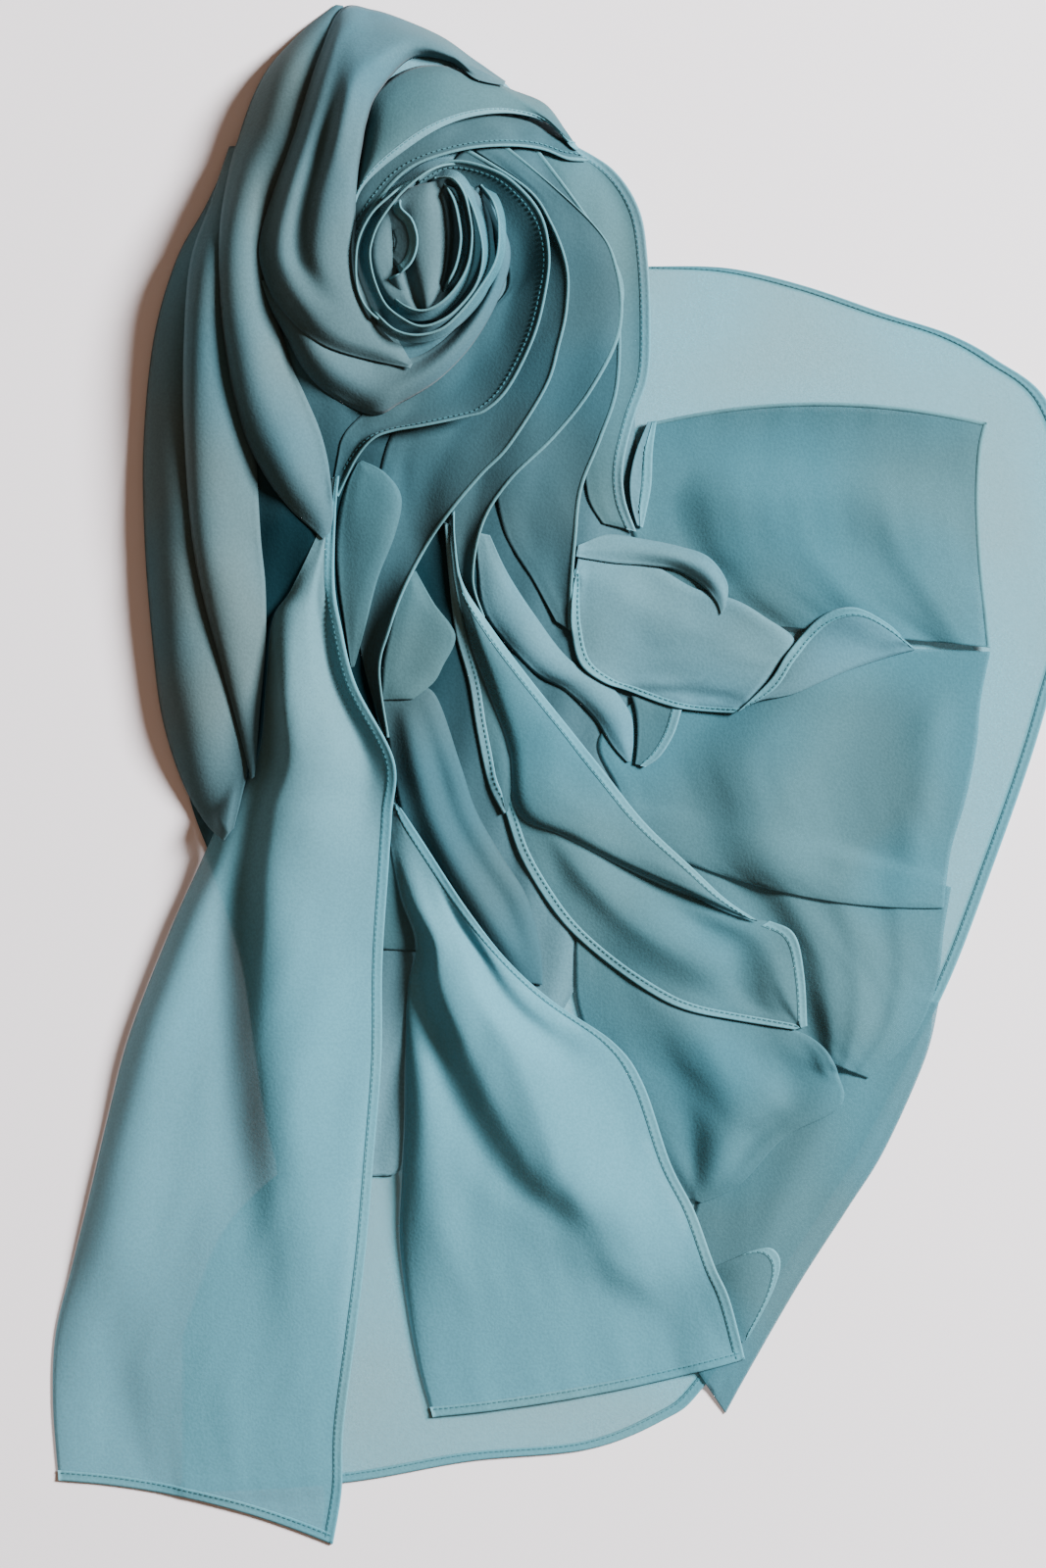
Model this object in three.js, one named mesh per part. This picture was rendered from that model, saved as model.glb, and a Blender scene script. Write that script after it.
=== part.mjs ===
// A sheer chiffon scarf laid flat on a table: one end is wound into a rose,
// and the rest fans out in folds and ends in two tails.
// Millimetres, +Z up, the table at z = 0, the scarf seen from above.
// A place is given as across (from the left of the laid scarf) and down (from
// its top edge), and a lift is the height above whatever the stretch lies on.
import * as THREE from "three";

// Driving dimensions
const wall = 1;             // cloth wall of every stretch
const clearance = 0.4;      // air between one stretch and the next
const middleAcross = 230.6; // the table point under the middle of the laid scarf
const middleDown = 316;
const cell = 2;             // pitch of the grid that records how high the pile is
const pileAcross = 460;     // reach of that grid
const pileDown = 650;
const steepest = 2.4;       // most that a sloping wall is thickened upright
const rollReach = 5;        // width over which a folded edge rolls down, unless its reach is given
const coreEdge = 1.6;       // thickness of the hidden layers at their rim

const seafoam = 0x86abb1;
const paleSeafoam = 0xa6c6cb;
const shadedTeal = 0x6f8f93;

// Hidden layers: a row for each section, from the top of the rose downwards.
// peak is where the crest lies, as a share of the way from left to right.
const coreSections = [
  ["down", "left", "right", "height", "peak"],
  [14, 134, 172, 4, 0.5],
  [26, 114, 196, 14, 0.5],
  [42, 105, 214, 22, 0.5],
  [66, 96, 236, 27, 0.5],
  [90, 86, 252, 29, 0.48],
  [116, 76, 256, 29, 0.46],
  [144, 71, 258, 28, 0.42],
  [172, 69, 259, 24, 0.38],
  [200, 67, 259, 20, 0.34],
  [232, 67, 259, 17, 0.34],
  [264, 69, 259, 14, 0.34],
  [296, 72, 259, 12, 0.34],
  [328, 78, 257, 10, 0.36],
  [360, 90, 251, 8, 0.38],
  [392, 100, 240, 6.5, 0.4],
  [424, 105, 222, 5, 0.42],
  [456, 110, 192, 3.4, 0.45],
  [480, 116, 160, 2.2, 0.5],
];
// The bowl in the middle of the rose, pressed into the hidden layers
const bowl = { across: 177, down: 104, reach: 27, depth: 5 };

// Laid stretches, lowest first. Each has a row for every section across it,
// from its head to its foot: the left and the right end of the section, their
// lifts and the crown between them. An edge is a hem, a fold that rolls under,
// or hidden. A fold is a soft ridge (or trough, with a negative rise) between
// two shares of the length. Its path across is given at its start, its middle
// and its end, and with a positive lean its right flank is the steeper one.
// reach is how wide the folded edges of a stretch roll, and leftReach that of
// its left edge where it rolls over another width.
const sectionColumns = [
  "leftAcross", "leftDown", "leftLift", "rightAcross", "rightDown", "rightLift", "crown",
];
const foldColumns = ["start", "middle", "end", "rise", "width", "lean", "from", "to"];

const stretches = [
  {
    name: "under_sheet", colour: paleSeafoam, across: 6, along: 26, left: "hidden", right: "hem",
    sections: [
      [240, 112, 0, 265.6, 108.8, 0, 0],
      [241, 126, 0, 296.8, 109.6, 0, 0],
      [242, 139, 0, 328, 116.8, 0, 0],
      [243, 152, 0, 360.8, 128, 0, 0],
      [243, 164, 0, 386.8, 136.4, 0, 0],
      [243, 178, 0, 406, 146.8, 0, 0],
      [243, 194, 0, 426.8, 163.6, 0, 0],
      [243, 212, 0, 438.4, 200, 0, 0],
      [243, 236, 0, 439.2, 240, 0, 0],
      [243, 262, 0, 426.8, 287.6, 0, 0],
      [241, 290, 0, 418, 316.4, 0, 0],
      [238, 318, 0, 405.2, 352.4, 0, 0],
      [231, 347, 0, 389.6, 394, 0, 0],
      [219, 376, 0, 375.2, 423.6, 0, 0],
      [203, 404, 0, 344, 480, 0, 0],
      [182, 430, 0, 312, 528, 0, 0],
      [158, 454, 0, 286, 566.8, 0, 0],
      [142, 464, 0, 270.8, 579.2, 0, 0],
      [126, 472, 0, 240, 591.2, 0, 0],
      [108, 484, 0, 192, 596, 0, 0],
      [90, 506, 0, 140, 604.8, 0, 0],
      [75.6, 545, 0, 75.6, 608.4, 0, 0],
    ],
    folds: [],
  },
  {
    name: "outer_fold", colour: seafoam, across: 5, along: 10, left: "hidden", right: "fold",
    sections: [
      [326, 404, 0, 383, 409, 0, 1],
      [318, 424, 0, 377.5, 432, 0, 2],
      [306, 446, 0, 361, 469, 0, 3],
      [292, 470, 0, 346, 493, 0, 3],
      [282, 500, 0, 326, 524, 0, 3],
      [278, 530, 0, 305.2, 560, 0, 2],
      [282, 556, 0, 296, 576.8, 0, 0.5],
    ],
    folds: [
      [0.5, 0.55, 0.6, 2, 0.16, 0, 0, 0.8],
    ],
  },
  {
    name: "panel_under", colour: seafoam, across: 6, along: 9, left: "hidden", right: "fold",
    sections: [
      [252, 330, 0, 388, 362, 0, 2],
      [264, 350, 0, 385, 380, 0, 3],
      [284, 372, 0, 382, 402, 0, 4],
      [300, 398, 0, 372, 424, 0, 4],
      [320, 426, 0, 354, 440, 0, 2],
    ],
    folds: [
      [0.45, 0.5, 0.62, 3, 0.15, 0, -0.3, 1.2],
      [0.27, 0.3, 0.36, -2, 0.12, 0, -0.3, 1.2],
      [0.72, 0.74, 0.78, -1.5, 0.1, 0, -0.3, 1.2],
    ],
  },
  {
    name: "panel_right", colour: seafoam, across: 8, along: 10, left: "hidden", right: "fold",
    sections: [
      [296, 262, 0, 404, 266, 0, 2],
      [276, 276, 0, 400, 286, 0, 4],
      [254, 290, 0, 398.4, 304, 0, 4],
      [244, 304, 0, 394, 326, 0, 4],
      [252, 322, 0, 388.4, 345, 0, 4],
      [256, 340, 0, 386, 360, 0, 3],
      [266, 346, 0, 385, 370.6, 0, 1],
    ],
    folds: [
      [0.5, 0.42, 0.4, 4, 0.15, 0, -0.2, 1.1],
      [0.68, 0.7, 0.74, -3, 0.12, 0, 0, 1],
      [0.86, 0.88, 0.9, 2, 0.06, 0, 0.1, 0.9],
      [0.2, 0.25, 0.3, -2.5, 0.12, 0, 0, 1],
    ],
  },
  {
    name: "panel_flat", colour: seafoam, across: 8, along: 10, left: "hidden", right: "hem",
    sections: [
      [265, 173, 0, 402.4, 172.8, 0, 5],
      [262, 188, 0, 400, 184, 0, 0],
      [258, 204, 0, 399, 204, 0, 6],
      [260, 222, 0, 400, 228, 0, 5],
      [276, 238, 0, 402, 248, 0, 5],
      [296, 254, 0, 403.6, 264.4, 0, 2],
    ],
    folds: [
      [0.05, 0.12, 0.2, -4, 0.12, 0, 0.1, 0.9],
      [0.22, 0.3, 0.42, 3, 0.15, 0, 0.3, 1.2],
      [0.7, 0.84, 1, -4, 0.1, 0, 0.45, 1.2],
      [0.9, 0.93, 0.96, 2, 0.07, 0, -0.2, 1.2],
    ],
    bow: [-8, -2, 0, 0, 0, 0],
  },
  {
    name: "small_loop", colour: seafoam, across: 4, along: 6, left: "hidden", right: "hem",
    sections: [
      [288, 518, 0, 306, 510.4, 1, 1],
      [290, 524, 0, 314, 509, 2, 2],
      [292, 532, 0, 318, 515, 2, 2],
      [298, 542, 0, 314.8, 527.2, 1, 1],
      [303, 548, 0, 305.2, 545.6, 0, 0],
    ],
    folds: [],
  },
  {
    name: "fan_third", colour: seafoam, across: 7, along: 10, left: "hidden", right: "fold",
    sections: [
      [236, 372, 0, 264, 378, 0, 1],
      [235, 392, 0, 300, 410, 0, 3],
      [236, 412, 0, 332, 424, 0, 4],
      [244, 430, 0, 342.4, 440, 0, 5],
      [254, 446, 0, 342, 452, 0, 5],
      [264, 462, 0, 320, 464, 0, 4],
      [274, 478, 0, 302, 483, 0, 3],
      [280, 489, 0, 286, 490.8, 0, 0],
    ],
    folds: [
      [0.4, 0.52, 0.6, 3.5, 0.14, 0, 0.1, 0.95],
      [0.26, 0.28, 0.34, -2.5, 0.11, 0, 0.3, 0.95],
      [0.78, 0.8, 0.8, -2.5, 0.1, 0, 0.3, 0.85],
    ],
  },
  {
    name: "pleat_e", colour: shadedTeal, across: 4, along: 14, left: "hidden", right: "hem",
    sections: [
      [216, 62, 0, 230, 58, 1.2, -0.2],
      [226, 78, 0, 249, 69, 3.8, -0.8],
      [232, 92, 0, 260.4, 86, 5, -1],
      [234, 112, 0, 264, 108, 5, -1],
      [234, 132, 0, 265, 134, 5, -1],
      [234, 152, 0, 264, 154, 5, -1],
      [236, 170, 0, 258.4, 171, 5, -1],
      [238, 188, 0, 254, 190, 5, -1],
      [240, 204, 0, 254.6, 204, 3.8, -0.8],
      [246, 214, 0, 259.2, 217, 1.2, -0.2],
    ],
    folds: [],
  },
  {
    name: "edge_turn", colour: seafoam, across: 3, along: 6, left: "hidden", right: "hem",
    sections: [
      [264.4, 172.4, 1, 267.6, 172, 0, 0],
      [259.6, 184, 1, 266, 184, 1, 0],
      [257, 196, 1, 265.4, 198, 1, 0],
      [257.6, 206, 1, 263.6, 208, 1, 0],
      [260, 214.6, 0, 262, 215.4, 0, 0],
    ],
    folds: [],
  },
  {
    name: "loop_left", colour: seafoam, across: 5, along: 12, left: "fold", right: "fold",
    sections: [
      [195, 218, 0.1, 200, 219, 0.1, 0.4],
      [195, 232, 0.3, 207, 234, 0.7, 2],
      [198.4, 252, 0.5, 218, 251, 1, 3],
      [216.8, 273.6, 0.5, 232, 269, 1, 3],
      [230, 281.6, 0.5, 248, 279, 1, 3],
      [241.6, 292.4, 0.5, 257, 291, 1, 3],
      [249.6, 304.4, 0.3, 258.4, 302, 0.7, 2],
      [256, 311.2, 0.1, 257.4, 310.8, 0.1, 0.4],
    ],
    folds: [],
  },
  {
    name: "loop_right", colour: shadedTeal, across: 4, along: 6, left: "hidden", right: "hem",
    sections: [
      [257.6, 284, 0, 278, 288.6, 1, 0],
      [259.6, 292, 0, 277.2, 291.6, 2, 0],
      [260, 300, 0, 274.4, 300, 2, 0],
      [259.6, 308, 0, 269, 308.6, 2, 0],
      [259, 312, 0, 263, 313, 1, 0],
    ],
    folds: [],
  },
  {
    name: "pleat_d", colour: shadedTeal, across: 5, along: 12, left: "hidden", right: "hem",
    sections: [
      [206, 66, 0, 216, 58, 1.1, -0.1],
      [226, 100, 0, 250.8, 108, 4.5, -0.7],
      [226, 124, 0, 252.8, 134, 7, -1],
      [218, 150, 0, 251.6, 160, 7, -1],
      [208, 176, 0, 245, 180, 7, -1],
      [202, 196, 0, 237.2, 200, 7, -1],
      [206, 218, 0, 234.8, 220.4, 7, -1],
      [218, 238, 0, 233.2, 240, 4.5, -0.7],
      [227, 254, 0, 233, 258, 1.1, -0.1],
    ],
    folds: [],
  },
  {
    name: "ruffle_pad", colour: seafoam, across: 8, along: 8, left: "hem", right: "fold",
    sections: [
      [234.4, 236, 0.1, 236, 228, 0.3, 0.4],
      [233.2, 247, 0.7, 262, 229, 1.3, 2],
      [233.4, 258, 1, 283, 240, 2, 3],
      [236.8, 271, 1, 300, 245, 2, 3],
      [246, 278.4, 1, 312, 252, 2, 3],
      [256.4, 282, 1, 324, 261.2, 2, 3],
      [276, 288.8, 0.7, 318, 271, 1.3, 2],
      [299.6, 291.2, 0.1, 306, 287, 0.3, 0.4],
    ],
    folds: [
      [0.1, 0.3, 0.6, -2.5, 0.12, 0, 0.72, 1.02],
      [0.05, 0.2, 0.45, 1.5, 0.12, 0, 0.6, 0.95],
      [0.5, 0.55, 0.6, 1.5, 0.2, 0, 0.05, 0.6],
    ],
  },
  {
    name: "ruffle_roll", colour: seafoam, across: 5, along: 8, left: "fold", right: "fold",
    reach: 6,
    sections: [
      [235, 227.6, 0, 236, 223, 0, 0.5],
      [250, 230, 0.5, 247.6, 218.4, 0.5, 2.5],
      [264, 231, 0.5, 262, 220, 0.5, 3.5],
      [276, 233, 0.5, 277, 223, 0.5, 4],
      [286, 239, 0.5, 289.2, 227.6, 0.5, 3.5],
      [292, 246, 0.5, 296.6, 238, 0, 2],
      [294, 251, 0, 296, 248, 0, 0.3],
    ],
    folds: [],
  },
  {
    name: "ruffle_leaf", colour: seafoam, across: 5, along: 8, left: "hem", right: "fold",
    reach: 7,
    sections: [
      [300.4, 291, 0.1, 308.4, 286, 0, 0.3],
      [314, 278, 0.7, 322.8, 283.6, 0, 1.3],
      [321.6, 266.4, 1, 336, 278, 0, 2],
      [334.4, 252.4, 1, 347.6, 273.2, 0, 2],
      [348, 248.4, 1, 360, 269, 0, 2],
      [362, 255, 0.7, 368, 266.6, 0, 1.3],
      [371.2, 264, 0.1, 373.6, 265.2, 0, 0.3],
    ],
    folds: [],
  },
  {
    name: "pleat_c", colour: shadedTeal, across: 5, along: 14, left: "hidden", right: "hem",
    sections: [
      [194, 64, 0, 202, 58, 1.2, -0.1],
      [218, 82, 0, 240.8, 92, 5.2, -0.7],
      [220, 104, 0, 251.6, 111.2, 8, -1],
      [216, 126, 0, 252.8, 136, 8, -1],
      [206, 148, 0, 241.6, 160, 8, -1],
      [192, 168, 0, 226, 180, 8, -1],
      [182, 186, 0, 208, 197.6, 8, -1],
      [180, 206, 0, 197.2, 214.8, 8, -1],
      [184, 226, 0, 193.2, 236.8, 5.2, -0.7],
      [190, 246, 0, 197.6, 252, 1.2, -0.1],
    ],
    folds: [],
  },
  {
    name: "fan_lower", colour: seafoam, across: 8, along: 12, left: "hem", right: "hidden",
    sections: [
      [202, 318, 1, 212, 306, 0, 1],
      [206.8, 332.8, 1, 228, 318, 0, 2],
      [212.4, 349.2, 0, 246, 334, 0, 3],
      [222.4, 366.4, 0, 262, 352, 0, 4],
      [232.8, 379.6, 0, 280, 364, 0, 4],
      [248.4, 393.2, 0, 298, 373, 0, 5],
      [266.4, 405.6, 0, 315, 376.4, 0, 5],
      [280.4, 412, 0, 324, 382, 0, 4],
      [299.6, 416, 0, 327.6, 398, 0, 3],
      [324, 420, 0, 328.8, 418.6, 0, 0],
    ],
    folds: [
      [0.45, 0.45, 0.3, 3.5, 0.18, 0, 0.1, 0.85],
      [0.85, 0.62, 0.15, -3.5, 0.13, 0, 0.42, 0.98],
    ],
  },
  {
    name: "fan_turn", colour: shadedTeal, across: 3, along: 9, left: "hem", right: "fold",
    sections: [
      [181.6, 214, 1, 184, 215, 1, 0],
      [183.6, 236, 1, 188, 236, 1, 0],
      [186.4, 258.8, 1, 194, 258, 1, 1],
      [191.6, 278.4, 1, 202, 278, 1, 1],
      [194.8, 298, 1, 208, 298, 1, 1],
      [199.6, 320, 0, 209, 314, 0, 1],
      [205.6, 332, 0, 207.4, 331, 0, 0],
    ],
    folds: [],
  },
  {
    name: "fan_upper", colour: seafoam, across: 6, along: 12, left: "fold", right: "hem",
    reach: 5,
    sections: [
      [184, 212, 0.8, 185.6, 209.6, 1, 0.8],
      [184.6, 224, 2.2, 186, 222, 3, 2.2],
      [187, 242, 3, 189, 238.6, 4, 3],
      [192, 262, 3, 200, 256, 4, 3],
      [200, 284, 3, 215, 276, 4, 3],
      [208, 306, 3, 231, 296, 4, 3],
      [212, 332, 3, 246, 314.8, 4, 3],
      [232, 342, 3, 263, 336, 4, 3],
      [256, 354, 3, 282, 354, 4, 3],
      [280, 364.6, 2.2, 295.6, 366.8, 3, 2.2],
      [302, 374, 0.8, 308.4, 375.6, 1, 0.8],
    ],
    folds: [],
  },
  {
    name: "tail_inner", colour: shadedTeal, across: 5, along: 12, left: "hidden", right: "fold",
    reach: 9,
    sections: [
      [156, 286, 0, 168, 280, 1, 1],
      [158, 300, 0, 178, 284, 3, 3],
      [161, 320, 0, 188, 312, 4, 4],
      [166, 340, 0, 194, 330, 4, 4],
      [174, 358, 0, 204, 348, 4, 4],
      [184, 374, 0, 215, 366, 4, 4],
      [196, 388, 0, 220.6, 386, 3, 3],
      [208, 400, 0, 221.4, 402, 1, 1],
    ],
    folds: [
      [0.35, 0.4, 0.45, 2.5, 0.16, 0, 0, 1],
      [0.68, 0.7, 0.72, -2, 0.12, 0, 0.05, 0.95],
    ],
  },
  {
    name: "gap_fold", colour: shadedTeal, across: 4, along: 6, left: "hidden", right: "hidden",
    sections: [
      [146, 352, 0, 164, 344, 0, 1],
      [148, 366, 0, 172, 362, 0, 1],
      [148, 378, 0, 174, 376, 0, 1],
      [150, 387, 0, 172, 388, 0, 0],
    ],
    folds: [],
  },
  {
    name: "tail_two", colour: seafoam, across: 13, along: 20, left: "fold", right: "hem",
    reach: 10,
    sections: [
      [159, 326, 0.4, 163.6, 329.6, 0.2, 0.4],
      [159.6, 344, 1.6, 173, 344, 1, 1.6],
      [164, 366, 2.9, 190, 370, 1.7, 2.9],
      [170, 384, 4.1, 207.6, 392.4, 2.5, 4.1],
      [166.4, 404, 5, 226, 409, 3, 5],
      [165.6, 430, 5, 250, 425.2, 3, 5],
      [165.2, 459.2, 5, 262, 442, 3, 5],
      [164, 482, 5, 273, 474, 3, 5],
      [163.2, 506, 4.1, 283, 494, 2.5, 4.1],
      [166.4, 534, 2.9, 291, 516, 1.7, 2.9],
      [171, 558, 1.6, 297.2, 530, 1, 1.6],
      [176.6, 578, 0.4, 303.6, 554.4, 0.2, 0.4],
    ],
    folds: [
      [0.02, 0.24, 0.76, -4, 0.1, 0, 0.22, 0.82],
      [0.18, 0.35, 0.88, 8, 0.23, -0.45, 0.06, 0.86],
      [0.85, 0.66, 0.78, -4, 0.1, 0, 0.12, 0.52],
      [0.04, 0.1, 0.18, 2.5, 0.09, 0, 0.34, 0.85],
    ],
    bow: [0, 0, 0, 0, 0, 0, 0, 0, 0, 0, 2, 3],
  },
  {
    name: "leaf_b", colour: paleSeafoam, across: 5, along: 8, left: "hidden", right: "fold",
    reach: 7,
    sections: [
      [166, 234, 0, 170, 233.6, 0.2, 0.2],
      [162, 246, 0, 177.2, 246.4, 1, 1],
      [159, 258, 0, 186, 259.6, 1.5, 1.5],
      [156.6, 270, 0, 181, 272, 1.5, 1.5],
      [156, 280, 0, 177, 279, 1, 1],
      [155.6, 286, 0, 168.8, 285.6, 0.2, 0.2],
    ],
    folds: [],
  },
  {
    name: "pleat_b", colour: shadedTeal, across: 5, along: 16, left: "hidden", right: "hem",
    sections: [
      [184, 70, 0, 190, 63, 1.2, -0.1],
      [206, 84, 0, 214.8, 79.2, 5.2, -0.7],
      [212, 98, 0, 224.8, 93.6, 8, -1],
      [212, 114, 0, 231.2, 111.2, 8, -1],
      [208, 130, 0, 231.2, 128, 8, -1],
      [200, 146, 0, 228, 143.2, 8, -1],
      [190, 158, 0, 222.8, 160, 8, -1],
      [176, 166, 0, 208, 183.6, 8, -1],
      [162, 176, 0, 196.8, 195.2, 8, -1],
      [156, 192, 0, 185.2, 208.8, 8, -1],
      [152, 212, 0, 175.6, 222, 8, -1],
      [148, 232, 0, 165.6, 240.8, 8, -1],
      [146, 252, 0, 159.2, 258, 8, -1],
      [149, 273, 0, 155.2, 274.4, 6, -0.8],
      [157, 301, 0, 158.8, 301, 1, -0.1],
    ],
    folds: [],
  },
  {
    name: "leaf_a", colour: paleSeafoam, across: 5, along: 10, left: "hidden", right: "fold",
    reach: 7,
    sections: [
      [146.6, 190, 0, 148, 189, 0.2, 0.2],
      [142.4, 198, 0, 157.6, 194, 1, 1],
      [139, 210, 0, 164.2, 204, 1.5, 1.5],
      [137.6, 224, 0, 161.6, 219, 1.5, 1.5],
      [138.6, 240, 0, 154.6, 237, 1.5, 1.5],
      [141, 256, 0, 149.6, 256, 1, 1],
      [143.6, 272.8, 0, 145, 272.4, 0.2, 0.2],
    ],
    folds: [],
  },
  {
    name: "pleat_a", colour: shadedTeal, across: 5, along: 18, left: "fold", right: "hem",
    sections: [
      [168, 84, 0, 172, 75.6, 1.2, -0.1],
      [180, 80, 0, 184.4, 68.8, 5.2, -0.7],
      [194, 84, 0, 202, 72.8, 8, -1],
      [202, 94, 0, 213.6, 81.2, 8, -1],
      [206, 106, 0, 221.2, 92, 8, -1],
      [207, 120, 0, 224, 106, 8, -1],
      [196, 132, 0, 222.8, 120.4, 8, -1],
      [187, 143, 0, 218, 139.6, 8, -1],
      [178, 151, 0, 208, 160, 8, -1],
      [169, 158, 0, 198.4, 169.6, 8, -1],
      [160, 164, 0, 189.2, 172.4, 8, -1],
      [150.4, 169.4, 0, 173.2, 175.6, 8, -1],
      [144, 175, 0, 160.8, 177.6, 8, -1],
      [140, 181, 0, 152.8, 180.8, 8, -1],
      [138.4, 188.6, 0, 145.8, 189, 5.2, -0.7],
      [136.2, 201, 0, 138.6, 203.4, 1.2, -0.1],
    ],
    folds: [],
  },
  {
    name: "tail_one", colour: seafoam, across: 15, along: 24, left: "fold", right: "hem",
    reach: 11,
    sections: [
      [136.4, 196, 0.3, 138.8, 195.4, 0.1, 0.5],
      [133, 212, 1.5, 137.4, 210.6, 1, 2.4],
      [120, 240, 2.9, 136.8, 238.4, 1.7, 2.9],
      [111.6, 253.6, 4.1, 139.6, 256.4, 2.5, 4.1],
      [108.8, 280, 5, 145.6, 280, 3, 5],
      [105.6, 308, 5, 160.8, 310, 3, 5],
      [92.8, 328.8, 7, 160, 332, 3, 5],
      [80.8, 354.4, 8, 158.4, 356, 3, 5],
      [68.8, 381.2, 8, 156, 393.2, 3, 5],
      [52.8, 422.4, 7, 155.6, 432, 3, 5],
      [44, 456, 5, 152.4, 472, 3, 5],
      [36.8, 486.8, 5, 149.2, 509.6, 3, 5],
      [29.6, 516, 4.1, 144.8, 546, 2.5, 4.1],
      [22.8, 544, 2.9, 140, 583.2, 1.7, 2.9],
      [21.6, 572, 1.6, 139.2, 608, 1, 1.6],
      [24, 604, 0.4, 135.6, 630, 0.2, 0.4],
    ],
    folds: [
      [-0.04, 0.34, 0.82, -4, 0.12, 0, 0.2, 0.86],
      [0.06, 0.43, 0.94, 8.5, 0.25, -0.45, 0.03, 0.9],
      [0.74, 0.74, 0.92, -5, 0.12, 0, -0.05, 0.44],
      [0.1, 0.12, 0.16, 3, 0.12, 0, 0.34, 0.95],
      [0.14, 0.22, 0.3, -2, 0.11, 0, 0.76, 1.1],
    ],
    bow: [0, 0, 0, 0, 0, 0, 0, 0, 0, 0, 0, 0, 0, -1, -3, -5],
  },
  {
    name: "roll_outer", colour: shadedTeal, across: 7, along: 12, left: "fold", right: "hidden",
    reach: 18,
    sections: [
      [94.4, 62, 1.6, 100, 62, 0, 0.6],
      [84, 84, 6.8, 100, 84, 0, 2.6],
      [72, 106, 12, 96, 106, 0, 4.6],
      [62.8, 138, 13, 90, 140, 0, 5],
      [58.6, 180, 13, 90, 180, 0, 5],
      [59, 220, 13, 92, 216, 0, 5],
      [62, 260, 13, 96, 252, 0, 5],
      [66, 292, 12, 101, 286, 0, 4.6],
      [74, 318, 8, 102, 310, 0, 3],
      [84, 336, 4, 99, 326, 0, 1.5],
      [92, 343, 0.8, 96, 338, 0, 0.4],
    ],
    folds: [],
  },
  {
    name: "roll_middle", colour: shadedTeal, across: 7, along: 12, left: "fold", right: "hidden",
    reach: 16,
    sections: [
      [93.6, 60, 1.6, 104, 60, 0, 0.5],
      [86, 84, 6, 104, 84, 0, 2.1],
      [78.4, 108, 9, 102, 106, 0, 3.7],
      [76, 140, 10, 104, 140, 0, 4],
      [76, 176, 10, 105, 176, 0, 4],
      [79, 218, 10, 107, 218, 0, 4],
      [84, 246, 10, 109, 240, 0, 4],
      [91, 272, 9, 109, 264, 0, 3],
      [98, 298, 6, 106.5, 292, 0, 2],
      [103, 318, 1.6, 104.5, 317, 0, 0.5],
    ],
    folds: [],
  },
  {
    name: "roll_inner", colour: seafoam, across: 7, along: 13, left: "fold", right: "hidden",
    reach: 16,
    sections: [
      [137, 2, 1.3, 140, 2.4, 0, 0.8],
      [122, 14, 6, 142, 10, 0, 4],
      [107, 32, 10, 136, 28, 0, 6],
      [97, 58, 10, 128, 58, 0, 6],
      [91, 90, 10, 116, 90, 0, 6],
      [91, 124, 10, 114, 124, 0, 6],
      [94, 150, 10, 119, 148, 0, 6],
      [97.5, 167, 10, 125, 162, 0, 6],
      [102.5, 183, 10, 131, 176, 0, 6],
      [110, 197, 9, 134.5, 189, 0, 5],
      [119, 208.5, 6, 136, 202, 0, 4],
      [127, 216, 3.5, 136.6, 211, 0, 2],
      [132.5, 221, 1.2, 135.4, 218, 0, 0.5],
    ],
    folds: [],
  },
  {
    name: "back_band", colour: shadedTeal, across: 4, along: 14, left: "hidden", right: "hem",
    sections: [
      [140, 96, 0, 148, 96, 1, -0.1],
      [146, 78, 0, 156, 84, 3, -0.4],
      [158, 66, 0, 168.4, 71.6, 4, -0.5],
      [174, 55, 0, 188.4, 64.4, 4, -0.5],
      [192, 48.6, 0, 207.2, 62, 4, -0.5],
      [212, 48.6, 0, 221.2, 62.8, 4, -0.5],
      [228, 53, 0, 231.6, 66.4, 3, -0.4],
      [234, 62, 0, 239.6, 66.4, 1, -0.1],
    ],
    folds: [],
  },
  {
    name: "back_petal", colour: shadedTeal, across: 5, along: 12, left: "fold", right: "hem",
    reach: 8,
    sections: [
      [143.6, 100, 0.5, 143, 100.8, 1.2, 1.2],
      [143.6, 84, 1.5, 148.4, 80, 3.8, 3.8],
      [149, 56, 2, 168.4, 62.8, 5, 5],
      [154, 40, 2, 185.6, 52.8, 5, 5],
      [170, 29, 2, 203.6, 48.4, 5, 5],
      [190, 30, 2, 217.2, 49.2, 5, 5],
      [207.2, 36.4, 2, 226.4, 53.2, 5, 5],
      [222.8, 42.8, 1.5, 233.2, 61.6, 3.8, 3.8],
      [232.8, 57.2, 0.5, 236, 62, 1.2, 1.2],
    ],
    folds: [],
  },
  {
    name: "petal_lower", colour: seafoam, across: 5, along: 14, left: "fold", right: "hidden",
    reach: 11,
    sections: [
      [108, 117, 1, 116, 114, 0, 1],
      [111.6, 128, 4, 124, 121, 0, 4],
      [118, 140, 6, 134, 132, 0, 6],
      [124.4, 152, 6, 140, 140, 0, 6],
      [134, 162, 6, 147, 145, 0, 6],
      [152.4, 171, 6, 158, 148, 0, 6],
      [164, 166.4, 6, 169, 148, 0, 6],
      [180, 156.4, 6, 180, 142, 0, 6],
      [194, 141.2, 6, 190, 132, 0, 6],
      [204.4, 122, 6, 198, 119, 0, 6],
      [208.4, 104.8, 6, 201, 104, 0, 6],
      [202.8, 89.6, 3.9, 198, 92, 0, 3.9],
      [195.2, 79.2, 0.9, 193, 81, 0, 0.9],
    ],
    folds: [],
  },
  {
    name: "petal_outer", colour: seafoam, across: 7, along: 16, left: "fold", right: "fold",
    leftReach: 3,
    reach: 12, leftReach: 3,
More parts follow.
